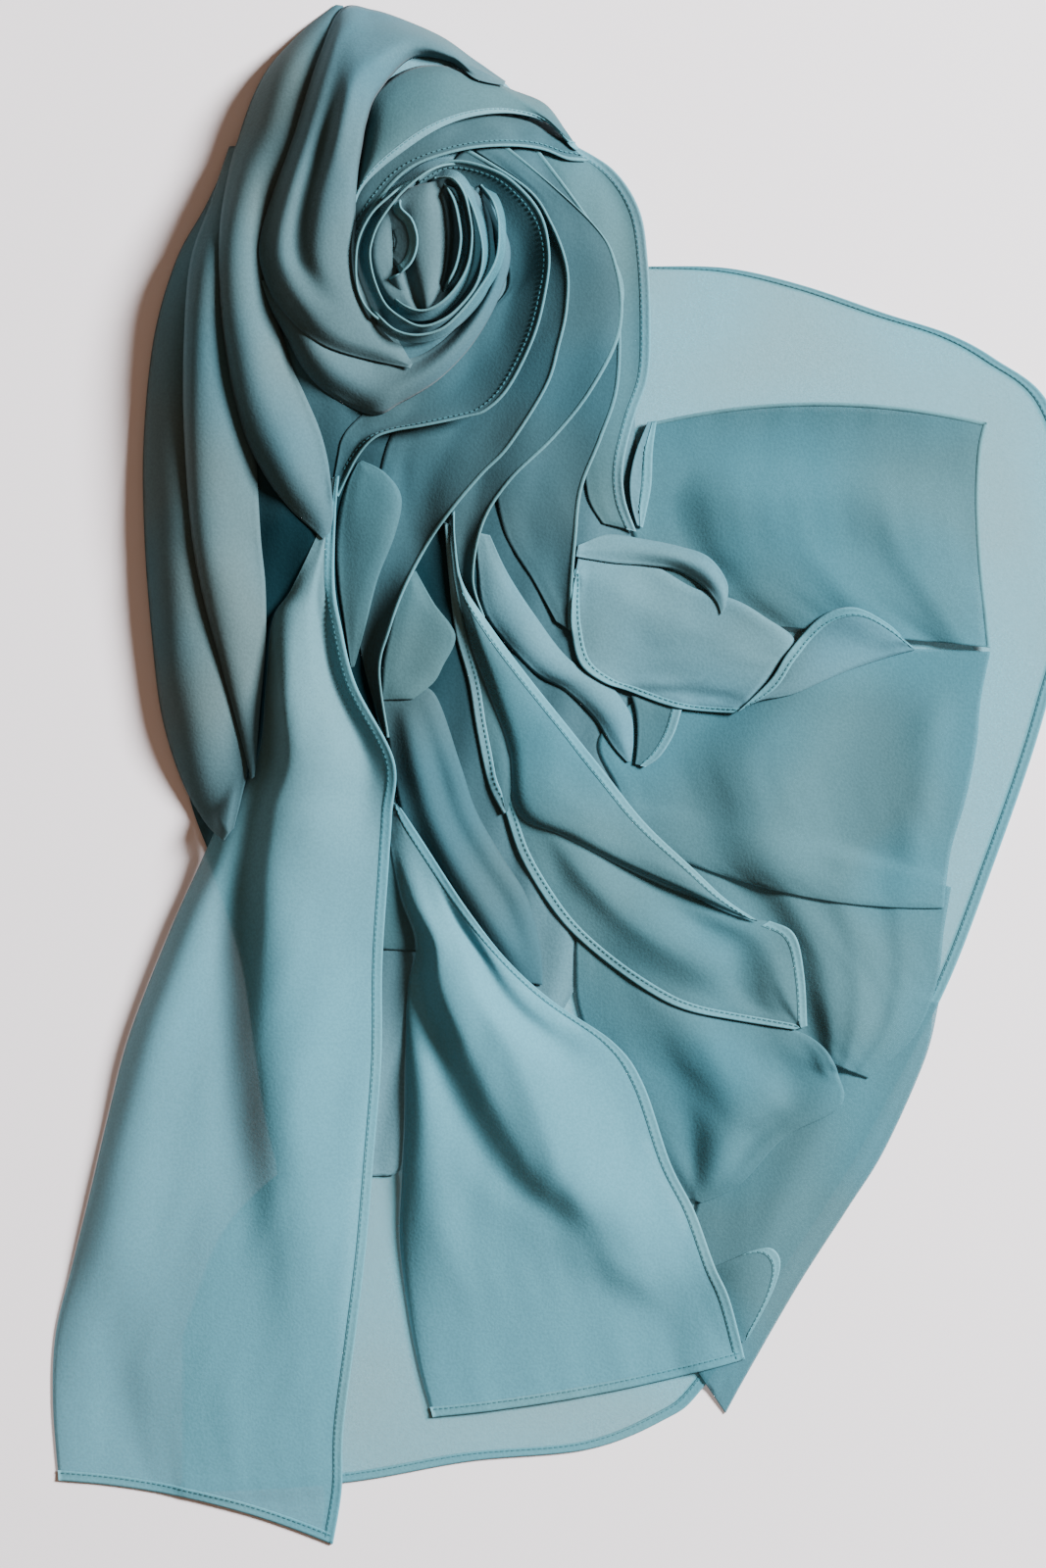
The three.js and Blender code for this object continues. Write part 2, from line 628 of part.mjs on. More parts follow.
    sections: [
      [205.6, 36.4, 0.6, 206.4, 34, 0.5, 1],
      [194.4, 34.4, 3, 193, 24.4, 2, 4],
      [184.4, 27.2, 5, 181, 15.6, 4, 6],
      [168.4, 25.6, 6, 166, 8.6, 5, 8],
      [154.8, 41.2, 6, 152, 4, 5, 9],
      [150.4, 52.8, 7, 139.4, 4, 5, 9],
      [148.6, 63, 7, 130.4, 25.6, 5, 9],
      [147, 74, 7, 120.4, 58.8, 5, 9],
      [146, 90, 7, 112, 82, 5, 9],
      [147, 104, 7, 107, 102, 5, 9],
      [149, 114.8, 7, 109, 116, 5, 9],
      [155, 128, 6, 117, 130, 4, 8],
      [162, 139, 4, 134, 144, 3, 5],
      [168.8, 150.6, 0.6, 167.8, 152.4, 0.6, 0.6],
    ],
    folds: [
      [0.5, 0.6, 0.5, -4.5, 0.14, 0, 0.42, 0.86],
      [0.3, 0.35, 0.4, 2.5, 0.16, 0, 0.2, 0.6],
      [0.86, 0.84, 0.7, 2, 0.12, 0, 0.3, 0.8],
    ],
  },
];

// The rose's rings: one strip of cloth on its edge, wound inwards.
// reach is the ring's half width across and down at the start of each turn.
const ringTurns = [
  ["turn", "reachAcross", "reachDown", "middleAcross", "middleDown", "rim"],
  [0, 26.5, 33.5, 176.5, 103.5, 38.5],
  [1, 23.5, 30.5, 176, 103.5, 40],
  [2, 20.5, 27, 175.5, 103.5, 41],
  [3, 17.5, 23.5, 175, 103.5, 40.5],
];
const ringStart = -50; // degrees from the right-hand side, turning over the top
const ringStepsPerTurn = 26;

// The heart: strips of cloth on edge inside the rings
const heartStrips = [
  {
    name: "heart_curl", points: [
      ["across", "down", "rim"],
      [171, 85, 38], [165, 92, 39], [170.5, 99, 40], [172, 107, 40], [166, 114, 39], [160.5, 112, 38],
    ],
  },
  {
    name: "heart_petal", points: [
      ["across", "down", "rim"],
      [173.5, 90, 37], [178.5, 98, 39], [181.5, 108, 40], [179, 118, 39], [176, 126, 37],
    ],
  },
  {
    name: "heart_back", points: [
      ["across", "down", "rim"],
      [182, 83, 37], [187, 94, 39], [189, 106, 39], [186.5, 117, 38],
    ],
  },
];

const readTable = ([heading, ...rows]) =>
  rows.map((row) => Object.fromEntries(heading.map((name, place) => [name, row[place]])));

// A smooth curve through one column of a table, read at 0 for the first row
// and 1 for the last
const along = (rows, column, share) => {
  const place = Math.min(Math.max(share, 0), 1) * (rows.length - 1);
  const first = Math.min(Math.floor(place), rows.length - 2);
  const t = place - first;
  const at = (row) => rows[Math.min(Math.max(row, 0), rows.length - 1)][column];
  const [a, b, c, d] = [at(first - 1), at(first), at(first + 1), at(first + 2)];
  return b + 0.5 * t * (c - a + t * (2 * a - 5 * b + 4 * c - d + t * (3 * (b - c) + d - a)));
};

const ease = (share) => {
  const t = Math.min(Math.max(share, 0), 1);
  return t * t * (3 - 2 * t);
};

// How much a fold lifts the cloth at a share across and a share of the length
const foldLift = (fold, u, v) => {
  const w = (v - fold.from) / (fold.to - fold.from);
  const ends = fold.start * (1 - w) * (1 - 2 * w) + fold.end * w * (2 * w - 1);
  const away = u - ends - fold.middle * 4 * w * (1 - w);
  const width = fold.width * (1 - fold.lean * Math.sign(away));
  return fold.rise * ease(w / 0.3) * ease((1 - w) / 0.3) * Math.exp(-((away / width) ** 2));
};

// The pile: the height of the top of everything that is already laid
const columns = Math.ceil(pileAcross / cell) + 1;
const lines = Math.ceil(pileDown / cell) + 1;
const pile = new Float64Array(columns * lines);
const clampColumn = (value) => Math.min(Math.max(value, 0), columns - 1);
const clampLine = (value) => Math.min(Math.max(value, 0), lines - 1);

const pileTop = (across, down) => {
  const column = Math.round(across / cell);
  const line = Math.round(down / cell);
  let top = 0;
  for (let dy = -1; dy <= 1; dy++) {
    for (let dx = -1; dx <= 1; dx++) {
      top = Math.max(top, pile[clampLine(line + dy) * columns + clampColumn(column + dx)]);
    }
  }
  return top;
};

// The highest of the four grid points round a place
const pileNear = (across, down) => {
  const column = Math.floor(across / cell);
  const line = Math.floor(down / cell);
  const at = (dx, dy) => pile[clampLine(line + dy) * columns + clampColumn(column + dx)];
  return Math.max(at(0, 0), at(1, 0), at(0, 1), at(1, 1));
};

// Lays a triangle of a stretch's upper face on the pile
const coverTriangle = (a, b, c) => {
  const area = (b[0] - a[0]) * (c[1] - a[1]) - (c[0] - a[0]) * (b[1] - a[1]);
  if (Math.abs(area) < 1e-9) return;
  const margin = 0.75 * cell;
  const slack = margin * Math.max(...[[a, b], [b, c], [c, a]].map(([p, q]) =>
    Math.hypot(q[0] - p[0], q[1] - p[1]))) / Math.abs(area);
  const low = (axis) => Math.floor((Math.min(a[axis], b[axis], c[axis]) - margin) / cell);
  const high = (axis) => Math.ceil((Math.max(a[axis], b[axis], c[axis]) + margin) / cell);
  for (let line = Math.max(low(1), 0); line <= Math.min(high(1), lines - 1); line++) {
    for (let column = Math.max(low(0), 0); column <= Math.min(high(0), columns - 1); column++) {
      const x = column * cell - a[0];
      const y = line * cell - a[1];
      const v = (x * (c[1] - a[1]) - (c[0] - a[0]) * y) / area;
      const w = ((b[0] - a[0]) * y - x * (b[1] - a[1])) / area;
      const u = 1 - v - w;
      if (u < -slack || v < -slack || w < -slack) continue;
      const [p, q, r] = [u, v, w].map((share) => Math.max(share, 0));
      const height = (p * a[2] + q * b[2] + r * c[2]) / (p + q + r);
      const index = line * columns + column;
      pile[index] = Math.max(pile[index], height);
    }
  }
};

// The pile widened and smoothed: the soft ground that a stretch drapes over
const softPile = () => {
  const passes = 4;
  const reach = 2;
  let ground = Float64Array.from(pile);
  for (let pass = 0; pass < passes; pass++) {
    for (const step of [1, columns]) {
      const next = new Float64Array(ground.length);
      for (let index = 0; index < ground.length; index++) {
        let sum = 0;
        for (let k = -reach; k <= reach; k++) {
          const other = index + k * step;
          sum += other >= 0 && other < ground.length ? ground[other] : ground[index];
        }
        next[index] = sum / (2 * reach + 1);
      }
      ground = next;
    }
  }
  return (across, down) => {
    const x = Math.min(Math.max(across / cell, 0), columns - 1.001);
    const y = Math.min(Math.max(down / cell, 0), lines - 1.001);
    const [column, line] = [Math.floor(x), Math.floor(y)];
    const [s, t] = [x - column, y - line];
    const at = (dx, dy) => ground[(line + dy) * columns + column + dx];
    return (1 - t) * ((1 - s) * at(0, 0) + s * at(1, 0)) + t * ((1 - s) * at(0, 1) + s * at(1, 1));
  };
};

// A closed solid between a lower and an upper grid of points
const shell = (under, over, rows, cols) => {
  const positions = [];
  const index = [];
  for (const grid of [under, over]) {
    for (const [across, down, height] of grid) {
      positions.push(across - middleAcross, middleDown - down, height);
    }
  }
  const upper = under.length;
  const at = (row, col) => row * cols + col;
  const quad = (a, b, c, d) => index.push(a, b, c, a, c, d);
  for (let row = 0; row < rows - 1; row++) {
    for (let col = 0; col < cols - 1; col++) {
      const [a, b, c, d] = [at(row, col), at(row + 1, col), at(row + 1, col + 1), at(row, col + 1)];
      quad(upper + a, upper + b, upper + c, upper + d);
      quad(d, c, b, a);
    }
  }
  const rim = [];
  for (let row = 0; row < rows - 1; row++) rim.push(at(row, 0));
  for (let col = 0; col < cols - 1; col++) rim.push(at(rows - 1, col));
  for (let row = rows - 1; row > 0; row--) rim.push(at(row, cols - 1));
  for (let col = cols - 1; col > 0; col--) rim.push(at(0, col));
  rim.forEach((a, place) => {
    const b = rim[(place + 1) % rim.length];
    quad(a, b, upper + b, upper + a);
  });
  let volume = 0;
  const corner = (vertex) => new THREE.Vector3().fromArray(positions, 3 * vertex);
  for (let i = 0; i < index.length; i += 3) {
    const [a, b, c] = [corner(index[i]), corner(index[i + 1]), corner(index[i + 2])];
    volume += a.dot(b.cross(c));
  }
  if (volume < 0) index.reverse();
  const geometry = new THREE.BufferGeometry();
  geometry.setAttribute("position", new THREE.Float32BufferAttribute(positions, 3));
  geometry.setIndex(index);
  geometry.computeVertexNormals();
  return geometry;
};

const clothMesh = (name, geometry, colour) => {
  const cloth = new THREE.MeshStandardMaterial({
    color: colour, roughness: 0.85, metalness: 0, flatShading: true,
  });
  const mesh = new THREE.Mesh(geometry, cloth);
  mesh.name = name;
  return mesh;
};

const trianglesOf = (rows, cols) => {
  const list = [];
  for (let row = 0; row < rows - 1; row++) {
    for (let col = 0; col < cols - 1; col++) {
      const a = row * cols + col;
      list.push([a, a + cols, a + cols + 1], [a, a + cols + 1, a + 1]);
    }
  }
  return list;
};

const cover = (over, rows, cols) => {
  for (const [a, b, c] of trianglesOf(rows, cols)) coverTriangle(over[a], over[b], over[c]);
};

// Lifts a sheet until each of its triangles clears the pile, as cloth does
// when it is laid on what is already there
const settle = (sheet, rows, cols) => {
  const faces = trianglesOf(rows, cols);
  const samples = [];
  const parts = 6;
  for (let i = 0; i <= parts; i++) {
    for (let j = 0; j <= parts - i; j++) samples.push([i / parts, j / parts, (parts - i - j) / parts]);
  }
  for (let round = 0; round < 40; round++) {
    let worst = 0;
    for (const face of faces) {
      const [a, b, c] = face.map((vertex) => sheet[vertex]);
      for (const [u, v, w] of samples) {
        const across = u * a[0] + v * b[0] + w * c[0];
        const down = u * a[1] + v * b[1] + w * c[1];
        const height = u * a[2] + v * b[2] + w * c[2];
        const short = pileTop(across, down) + clearance - height;
        if (pileTop(across, down) === 0 || short <= 0.001) continue;
        worst = Math.max(worst, short);
        const total = u * u + v * v + w * w;
        a[2] += (short * u) / total;
        b[2] += (short * v) / total;
        c[2] += (short * w) / total;
      }
    }
    if (worst < 0.002) break;
  }
};

// The upright thickness that keeps the wall its true thickness on a slope
const thicken = (sheet, rows, cols) => sheet.map((point, vertex) => {
  const row = Math.floor(vertex / cols);
  const col = vertex % cols;
  const near = (r, c) =>
    sheet[Math.min(Math.max(r, 0), rows - 1) * cols + Math.min(Math.max(c, 0), cols - 1)];
  const slope = (p, q) => Math.abs(q[2] - p[2]) / Math.max(Math.hypot(q[0] - p[0], q[1] - p[1]), 0.5);
  const across = slope(near(row, col - 1), near(row, col + 1));
  const down = slope(near(row - 1, col), near(row + 1, col));
  const factor = Math.min(Math.sqrt(1 + across * across + down * down), steepest);
  return [point[0], point[1], point[2] + wall * factor];
});

// How much of its lift a folded edge has at a distance from the edge
const rolledEdge = (distance, reach = rollReach) => {
  const share = Math.min(distance / reach, 1);
  return Math.sqrt(1 - (1 - share) ** 2);
};

const laidStretch = (spec, ground) => {
  const sections = readTable([sectionColumns, ...spec.sections]);
  sections.forEach((section, row) => { section.bow = spec.bow ? spec.bow[row] : 0; });
  const folds = readTable([foldColumns, ...spec.folds]);
  const rows = spec.along + 1;
  const cols = spec.across + 1;
  const sheet = [];
  for (let row = 0; row < rows; row++) {
    const v = row / spec.along;
    const read = (column) => along(sections, column, v);
    const [la, ld, ra, rd] = ["leftAcross", "leftDown", "rightAcross", "rightDown"].map(read);
    const width = Math.hypot(ra - la, rd - ld);
    for (let col = 0; col < cols; col++) {
      const even = col / spec.across;
      const u = 0.5 - 0.5 * Math.cos(Math.PI * even) * 0.35 - 0.5 * (1 - 2 * even) * 0.65;
      const bow = read("bow") * 4 * u * (1 - u);
      const across = la + (ra - la) * u - (bow * (rd - ld)) / Math.max(width, 1);
      const down = ld + (rd - ld) * u + (bow * (ra - la)) / Math.max(width, 1);
      let lift = read("leftLift") * (1 - u) + read("rightLift") * u + read("crown") * 4 * u * (1 - u);
      for (const fold of folds) lift += foldLift(fold, u, v);
      if (spec.left === "fold") lift *= rolledEdge(u * width, spec.leftReach ?? spec.reach);
      if (spec.right === "fold") lift *= rolledEdge((1 - u) * width, spec.reach);
      sheet.push([across, down, Math.max(ground(across, down) + Math.max(lift, 0), 0)]);
    }
  }
  settle(sheet, rows, cols);
  const over = thicken(sheet, rows, cols);
  cover(over, rows, cols);
  return clothMesh(spec.name, shell(sheet, over, rows, cols), spec.colour);
};

const makeCore = () => {
  const sections = readTable(coreSections);
  const rows = 20;
  const cols = 11;
  const under = [];
  const over = [];
  for (let row = 0; row < rows; row++) {
    const v = row / (rows - 1);
    const read = (column) => along(sections, column, v);
    for (let col = 0; col < cols; col++) {
      const u = 0.5 - 0.5 * Math.cos((Math.PI * col) / (cols - 1));
      const across = read("left") + (read("right") - read("left")) * u;
      const down = read("down");
      const side = u < read("peak") ? read("peak") : 1 - read("peak");
      const share = Math.abs(u - read("peak")) / side;
      const round = (1 - share * share) ** 0.8;
      const away = Math.hypot(across - bowl.across, (down - bowl.down) * 0.8) / bowl.reach;
      const dip = bowl.depth * (1 - ease(away));
      under.push([across, down, 0]);
      over.push([across, down, coreEdge + Math.max(read("height") - coreEdge, 0) * round - dip]);
    }
  }
  settle(under, rows, cols);
  over.forEach((point, vertex) => { point[2] = Math.max(point[2], under[vertex][2] + coreEdge); });
  cover(over, rows, cols);
  return clothMesh("hidden_layers", shell(under, over, rows, cols), shadedTeal);
};

// A strip of cloth standing on its edge along a path; it stands on the pile
const standingStrip = (name, path, colour) => {
  const half = wall / 2;
  const under = [];
  const over = [];
  path.forEach(([across, down, rim], place) => {
    const before = path[Math.max(place - 1, 0)];
    const after = path[Math.min(place + 1, path.length - 1)];
    const run = Math.hypot(after[0] - before[0], after[1] - before[1]);
    const [nx, ny] = [-(after[1] - before[1]) / run, (after[0] - before[0]) / run];
    let base = 0;
    for (const share of [-0.6, -0.3, 0, 0.3, 0.6]) {
      const other = share < 0 ? before : after;
      const x = across + (other[0] - across) * Math.abs(share);
      const y = down + (other[1] - down) * Math.abs(share);
      for (const side of [-half, half]) base = Math.max(base, pileNear(x + side * nx, y + side * ny));
    }
    base += clearance;
    for (const side of [-1, 1]) {
      under.push([across + side * half * nx, down + side * half * ny, base]);
      over.push([across + side * half * nx, down + side * half * ny, Math.max(rim, base + 3)]);
    }
  });
  return clothMesh(name, shell(under, over, path.length, 2), colour);
};

const makeRing = () => {
  const turns = readTable(ringTurns);
  const count = (turns.length - 1) * ringStepsPerTurn;
  const path = [];
  for (let step = 0; step <= count; step++) {
    const share = step / count;
    const angle = THREE.MathUtils.degToRad(ringStart) + (2 * Math.PI * step) / ringStepsPerTurn;
    const read = (column) => along(turns, column, share);
    path.push([
      read("middleAcross") + read("reachAcross") * Math.cos(angle),
      read("middleDown") - read("reachDown") * Math.sin(angle),
      read("rim"),
    ]);
  }
  return standingStrip("rose_ring", path, seafoam);
};

const makeHeart = (strip) => {
  const points = readTable(strip.points);
  const steps = 3 * (points.length - 1);
  const path = [];
  for (let step = 0; step <= steps; step++) {
    path.push(["across", "down", "rim"].map((column) => along(points, column, step / steps)));
  }
  return standingStrip(strip.name, path, seafoam);
};

const scarf = new THREE.Group();
const flatPieces = 1; // the under-sheet lies on the table, before the hidden layers
stretches.slice(0, flatPieces).forEach((spec) => scarf.add(laidStretch(spec, () => 0)));
scarf.add(makeCore());
stretches.slice(flatPieces).forEach((spec) => scarf.add(laidStretch(spec, softPile())));
scarf.add(makeRing());
heartStrips.forEach((strip) => scarf.add(makeHeart(strip)));

export default scarf;
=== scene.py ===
import bpy
import numpy as np
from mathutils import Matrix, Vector

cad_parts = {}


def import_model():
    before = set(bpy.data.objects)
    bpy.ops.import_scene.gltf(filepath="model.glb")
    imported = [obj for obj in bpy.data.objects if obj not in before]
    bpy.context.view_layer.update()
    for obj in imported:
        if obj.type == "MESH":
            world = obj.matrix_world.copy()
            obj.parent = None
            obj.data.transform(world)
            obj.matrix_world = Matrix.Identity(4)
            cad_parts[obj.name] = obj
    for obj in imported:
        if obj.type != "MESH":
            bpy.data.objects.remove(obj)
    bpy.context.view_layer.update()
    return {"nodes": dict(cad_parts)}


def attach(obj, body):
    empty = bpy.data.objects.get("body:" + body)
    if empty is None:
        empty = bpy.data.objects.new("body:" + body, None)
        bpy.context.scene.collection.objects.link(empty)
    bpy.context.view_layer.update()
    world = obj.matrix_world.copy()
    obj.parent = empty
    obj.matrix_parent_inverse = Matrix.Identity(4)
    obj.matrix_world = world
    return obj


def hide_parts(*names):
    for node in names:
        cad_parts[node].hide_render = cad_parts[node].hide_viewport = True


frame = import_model()
print("frame loaded:", len(frame["nodes"]), "nodes")

# Sizes of the cloth and of the record of the pile, in millimetres
cloth = {
    "thickness": 0.4,        # chiffon, drawn thicker than its real 0.2 mm
    "gap": 0.6,              # a top surface above the one that it lies on
    "softness": 0.9,         # how softly cloth comes down on the pile
    "spacing": 1.8,          # of the points of a stretch
    "rollReach": 5.0,        # over which a folded edge rolls down
    "edgeReach": 6.0,        # over which an edge comes down to touch
    "lowestTop": 0.5,        # height of the lowest sheet's top
    "rows": (24, 320),       # fewest and most points along a stretch
    "cols": (14, 130),       # and across it
}
table = {"middleAcross": 230.6, "middleDown": 316.0, "across": 470, "down": 660}

# Laid stretches, lowest first. A section is (left across, left down, left lift,
# right across, right down, right lift, crown), from head to foot. A fold is
# (start, middle, end: its path across; rise, width, lean, from, to).
# More may be said of a stretch: reach and leftReach, over which a folded side
# rolls down; bow, how far each section bends; ripple, how deep its fine ridges
# are; hemEnds, the ends with a hem; hemSpan, the hemmed share of a side;
# hemTone, the hem's tone; and stitched, whether its stitches show.
stretches = []


def stretch(name, tone, left, right, sections, folds=(), **more):
    # notes a stretch; each of its sides is hidden, a fold or a hem
    stretches.append({"name": name, "tone": tone, "left": left, "right": right,
                      "sections": sections, "folds": folds, **more})


stretch("under_sheet", "pale", "hidden", "hem", [
    [240, 112, 0, 265.6, 108.8, 0, 0],
    [241, 126, 0, 296.8, 109.6, 0, 0],
    [242, 139, 0, 328, 116.8, 0, 0],
    [243, 152, 0, 360.8, 128, 0, 0],
    [243, 164, 0, 386.8, 136.4, 0, 0],
    [243, 178, 0, 406, 146.8, 0, 0],
    [243, 194, 0, 426.8, 163.6, 0, 0],
    [243, 212, 0, 438.4, 200, 0, 0],
    [243, 236, 0, 439.2, 240, 0, 0],
    [243, 262, 0, 426.8, 287.6, 0, 0],
    [241, 290, 0, 418, 316.4, 0, 0],
    [238, 318, 0, 405.2, 352.4, 0, 0],
    [231, 347, 0, 389.6, 394, 0, 0],
    [219, 376, 0, 375.2, 423.6, 0, 0],
    [203, 404, 0, 344, 480, 0, 0],
    [182, 430, 0, 312, 528, 0, 0],
    [158, 454, 0, 286, 566.8, 0, 0],
    [142, 464, 0, 270.8, 579.2, 0, 0],
    [126, 472, 0, 240, 591.2, 0, 0],
    [108, 484, 0, 192, 596, 0, 0],
    [90, 506, 0, 140, 604.8, 0, 0],
    [75.6, 545, 0, 75.6, 608.4, 0, 0],
])
stretch("outer_fold", "seafoam", "hidden", "fold", [
    [326, 404, 0, 383, 409, 0, 1],
    [318, 424, 0, 377.5, 432, 0, 2],
    [306, 446, 0, 361, 469, 0, 3],
    [292, 470, 0, 346, 493, 0, 3],
    [282, 500, 0, 326, 524, 0, 3],
    [278, 530, 0, 305.2, 560, 0, 2],
    [282, 556, 0, 296, 576.8, 0, 0.5],
], folds=[[0.5, 0.55, 0.6, 2, 0.16, 0, 0, 0.8]])
stretch("panel_under", "seafoam", "hidden", "fold", [
    [252, 330, 0, 388, 362, 0, 2],
    [264, 350, 0, 385, 380, 0, 3],
    [284, 372, 0, 382, 402, 0, 4],
    [300, 398, 0, 372, 424, 0, 4],
    [320, 426, 0, 354, 440, 0, 2],
], folds=[
    [0.45, 0.5, 0.62, 3, 0.13, -0.3, -0.3, 1.2],
    [0.66, 0.68, 0.74, 2, 0.1, -0.3, -0.3, 1.2],
    [0.3, 0.33, 0.4, -2, 0.12, 0, -0.3, 1.2],
    [0.84, 0.86, 0.88, 1.5, 0.07, -0.3, -0.3, 1.2],
])
stretch("panel_right", "seafoam", "hidden", "fold", [
    [296, 262, 0, 404, 266, 0, 2],
    [276, 276, 0, 400, 286, 0, 4],
    [254, 290, 0, 398.4, 304, 0, 4],
    [244, 304, 0, 394, 326, 0, 4],
    [252, 322, 0, 388.4, 345, 0, 4],
    [256, 340, 0, 386, 360, 0, 3],
    [266, 346, 0, 385, 370.6, 0, 1],
], folds=[
    [0.5, 0.42, 0.4, 4, 0.15, 0, -0.2, 1.1],
    [0.68, 0.7, 0.74, -3, 0.12, 0, 0, 1],
    [0.86, 0.88, 0.9, 2, 0.06, 0, 0.1, 0.9],
    [0.2, 0.25, 0.3, -2.5, 0.12, 0, 0, 1],
], bow=[0, 0, 0, 0, 2, 5, 7])
stretch("panel_flat", "seafoam", "hidden", "hem", [
    [265, 173, 0, 402.4, 172.8, 0, 5],
    [262, 188, 0, 400, 184, 0, 0],
    [258, 204, 0, 399, 204, 0, 6],
    [260, 222, 0, 400, 228, 0, 5],
    [276, 238, 0, 402, 248, 0, 5],
    [296, 254, 0, 403.6, 264.4, 0, 2],
], folds=[
    [0.05, 0.12, 0.2, -4, 0.12, 0, 0.1, 0.9],
    [0.18, 0.24, 0.32, 2.5, 0.2, -0.3, 0.05, 1.1],
    [0.7, 0.84, 1.02, 3.5, 0.16, -0.45, 0.25, 1.3],
    [0.48, 0.58, 0.64, 2, 0.13, -0.3, 0.42, 1.3],
], hemEnds=["head"], hemTone="pleatedAndShaded", stitched=False, bow=[-8, -2, 0, 0, 0, 0])
stretch("small_loop", "seafoam", "hidden", "hem", [
    [288, 518, 0, 306, 510.4, 1, 1],
    [290, 524, 0, 314, 509, 2, 2],
    [292, 532, 0, 318, 515, 2, 2],
    [298, 542, 0, 314.8, 527.2, 1, 1],
    [303, 548, 0, 305.2, 545.6, 0, 0],
])
stretch("fan_third", "seafoam", "hidden", "fold", [
    [236, 372, 0, 264, 378, 0, 1],
    [235, 392, 0, 300, 410, 0, 3],
    [236, 412, 0, 332, 424, 0, 4],
    [244, 430, 0, 342.4, 440, 0, 5],
    [254, 446, 0, 342, 452, 0, 5],
    [264, 462, 0, 320, 464, 0, 4],
    [274, 478, 0, 302, 483, 0, 3],
    [280, 489, 0, 286, 490.8, 0, 0],
], folds=[
    [0.4, 0.52, 0.6, 3, 0.16, 0, 0.1, 0.95],
    [0.26, 0.28, 0.34, -2, 0.12, 0, 0.3, 0.95],
    [0.78, 0.8, 0.8, -2.5, 0.1, 0, 0.3, 0.85],
])
stretch("pleat_e", "shaded", "hidden", "hem", [
    [216, 62, 0, 230, 58, 1.2, -0.2],
    [226, 78, 0, 249, 69, 3.8, -0.8],
    [232, 92, 0, 260.4, 86, 5, -1],
    [234, 112, 0, 264, 108, 5, -1],
    [234, 132, 0, 265, 134, 5, -1],
    [234, 152, 0, 264, 154, 5, -1],
    [236, 170, 0, 258.4, 171, 5, -1],
    [238, 188, 0, 254, 190, 5, -1],
    [240, 204, 0, 254.6, 204, 3.8, -0.8],
    [246, 214, 0, 259.2, 217, 1.2, -0.2],
])
stretch("edge_turn", "ruffled", "hidden", "hem", [
    [264.4, 172.4, 1, 267.6, 172, 0, 0],
    [259.6, 184, 1, 266, 184, 1, 0],
    [257, 196, 1, 265.4, 198, 1, 0],
    [257.6, 206, 1, 263.6, 208, 1, 0],
    [260, 214.6, 0, 262, 215.4, 0, 0],
])
stretch("loop_left", "ruffled", "fold", "fold", [
    [195, 218, 0.1, 200, 219, 0.1, 0.4],
    [195, 232, 0.3, 207, 234, 0.7, 2],
    [198.4, 252, 0.5, 218, 251, 1, 3],
    [216.8, 273.6, 0.5, 232, 269, 1, 3],
    [230, 281.6, 0.5, 248, 279, 1, 3],
    [241.6, 292.4, 0.5, 257, 291, 1, 3],
    [249.6, 304.4, 0.3, 258.4, 302, 0.7, 2],
    [256, 311.2, 0.1, 257.4, 310.8, 0.1, 0.4],
])
stretch("loop_right", "shaded", "hidden", "hem", [
    [257.6, 284, 0, 278, 288.6, 1, 0],
    [259.6, 292, 0, 277.2, 291.6, 2, 0],
    [260, 300, 0, 274.4, 300, 2, 0],
    [259.6, 308, 0, 269, 308.6, 2, 0],
    [259, 312, 0, 263, 313, 1, 0],
])
stretch("pleat_d", "pleatedAndShaded", "hidden", "hem", [
    [206, 66, 0, 216, 58, 1.1, -0.1],
    [226, 100, 0, 250.8, 108, 4.5, -0.7],
    [226, 124, 0, 252.8, 134, 7, -1],
    [218, 150, 0, 251.6, 160, 7, -1],
    [208, 176, 0, 245, 180, 7, -1],
    [202, 196, 0, 237.2, 200, 7, -1],
    [206, 218, 0, 234.8, 220.4, 7, -1],
    [218, 238, 0, 233.2, 240, 4.5, -0.7],
    [227, 254, 0, 233, 258, 1.1, -0.1],
], stitched=False)
stretch("ruffle_pad", "ruffled", "hem", "fold", [
    [234.4, 236, 0.1, 236, 228, 0.3, 0.4],
    [233.2, 247, 0.7, 262, 229, 1.3, 2],
    [233.4, 258, 1, 283, 240, 2, 3],
    [236.8, 271, 1, 300, 245, 2, 3],
    [246, 278.4, 1, 312, 252, 2, 3],
    [256.4, 282, 1, 324, 261.2, 2, 3],
    [276, 288.8, 0.7, 318, 271, 1.3, 2],
    [299.6, 291.2, 0.1, 306, 287, 0.3, 0.4],
], folds=[
    [0.1, 0.3, 0.6, -2.5, 0.12, 0, 0.72, 1.02],
    [0.05, 0.2, 0.45, 1.5, 0.12, 0, 0.6, 0.95],
    [0.5, 0.55, 0.6, 1.5, 0.2, 0, 0.05, 0.6],
])
stretch("ruffle_roll", "ruffled", "fold", "fold", [
    [235, 227.6, 0, 236, 223, 0, 0.5],
    [250, 230, 0.5, 247.6, 218.4, 0.5, 2.5],
    [264, 231, 0.5, 262, 220, 0.5, 3.5],
    [276, 233, 0.5, 277, 223, 0.5, 4],
    [286, 239, 0.5, 289.2, 227.6, 0.5, 3.5],
    [292, 246, 0.5, 296.6, 238, 0, 2],
    [294, 251, 0, 296, 248, 0, 0.3],
], reach=6)
stretch("ruffle_leaf", "ruffled", "hem", "fold", [
    [300.4, 291, 0.1, 308.4, 286, 0, 0.3],
    [314, 278, 0.7, 322.8, 283.6, 0, 1.3],
    [321.6, 266.4, 1, 336, 278, 0, 2],
    [334.4, 252.4, 1, 347.6, 273.2, 0, 2],
    [348, 248.4, 1, 360, 269, 0, 2],
    [362, 255, 0.7, 368, 266.6, 0, 1.3],
    [371.2, 264, 0.1, 373.6, 265.2, 0, 0.3],
], reach=7)
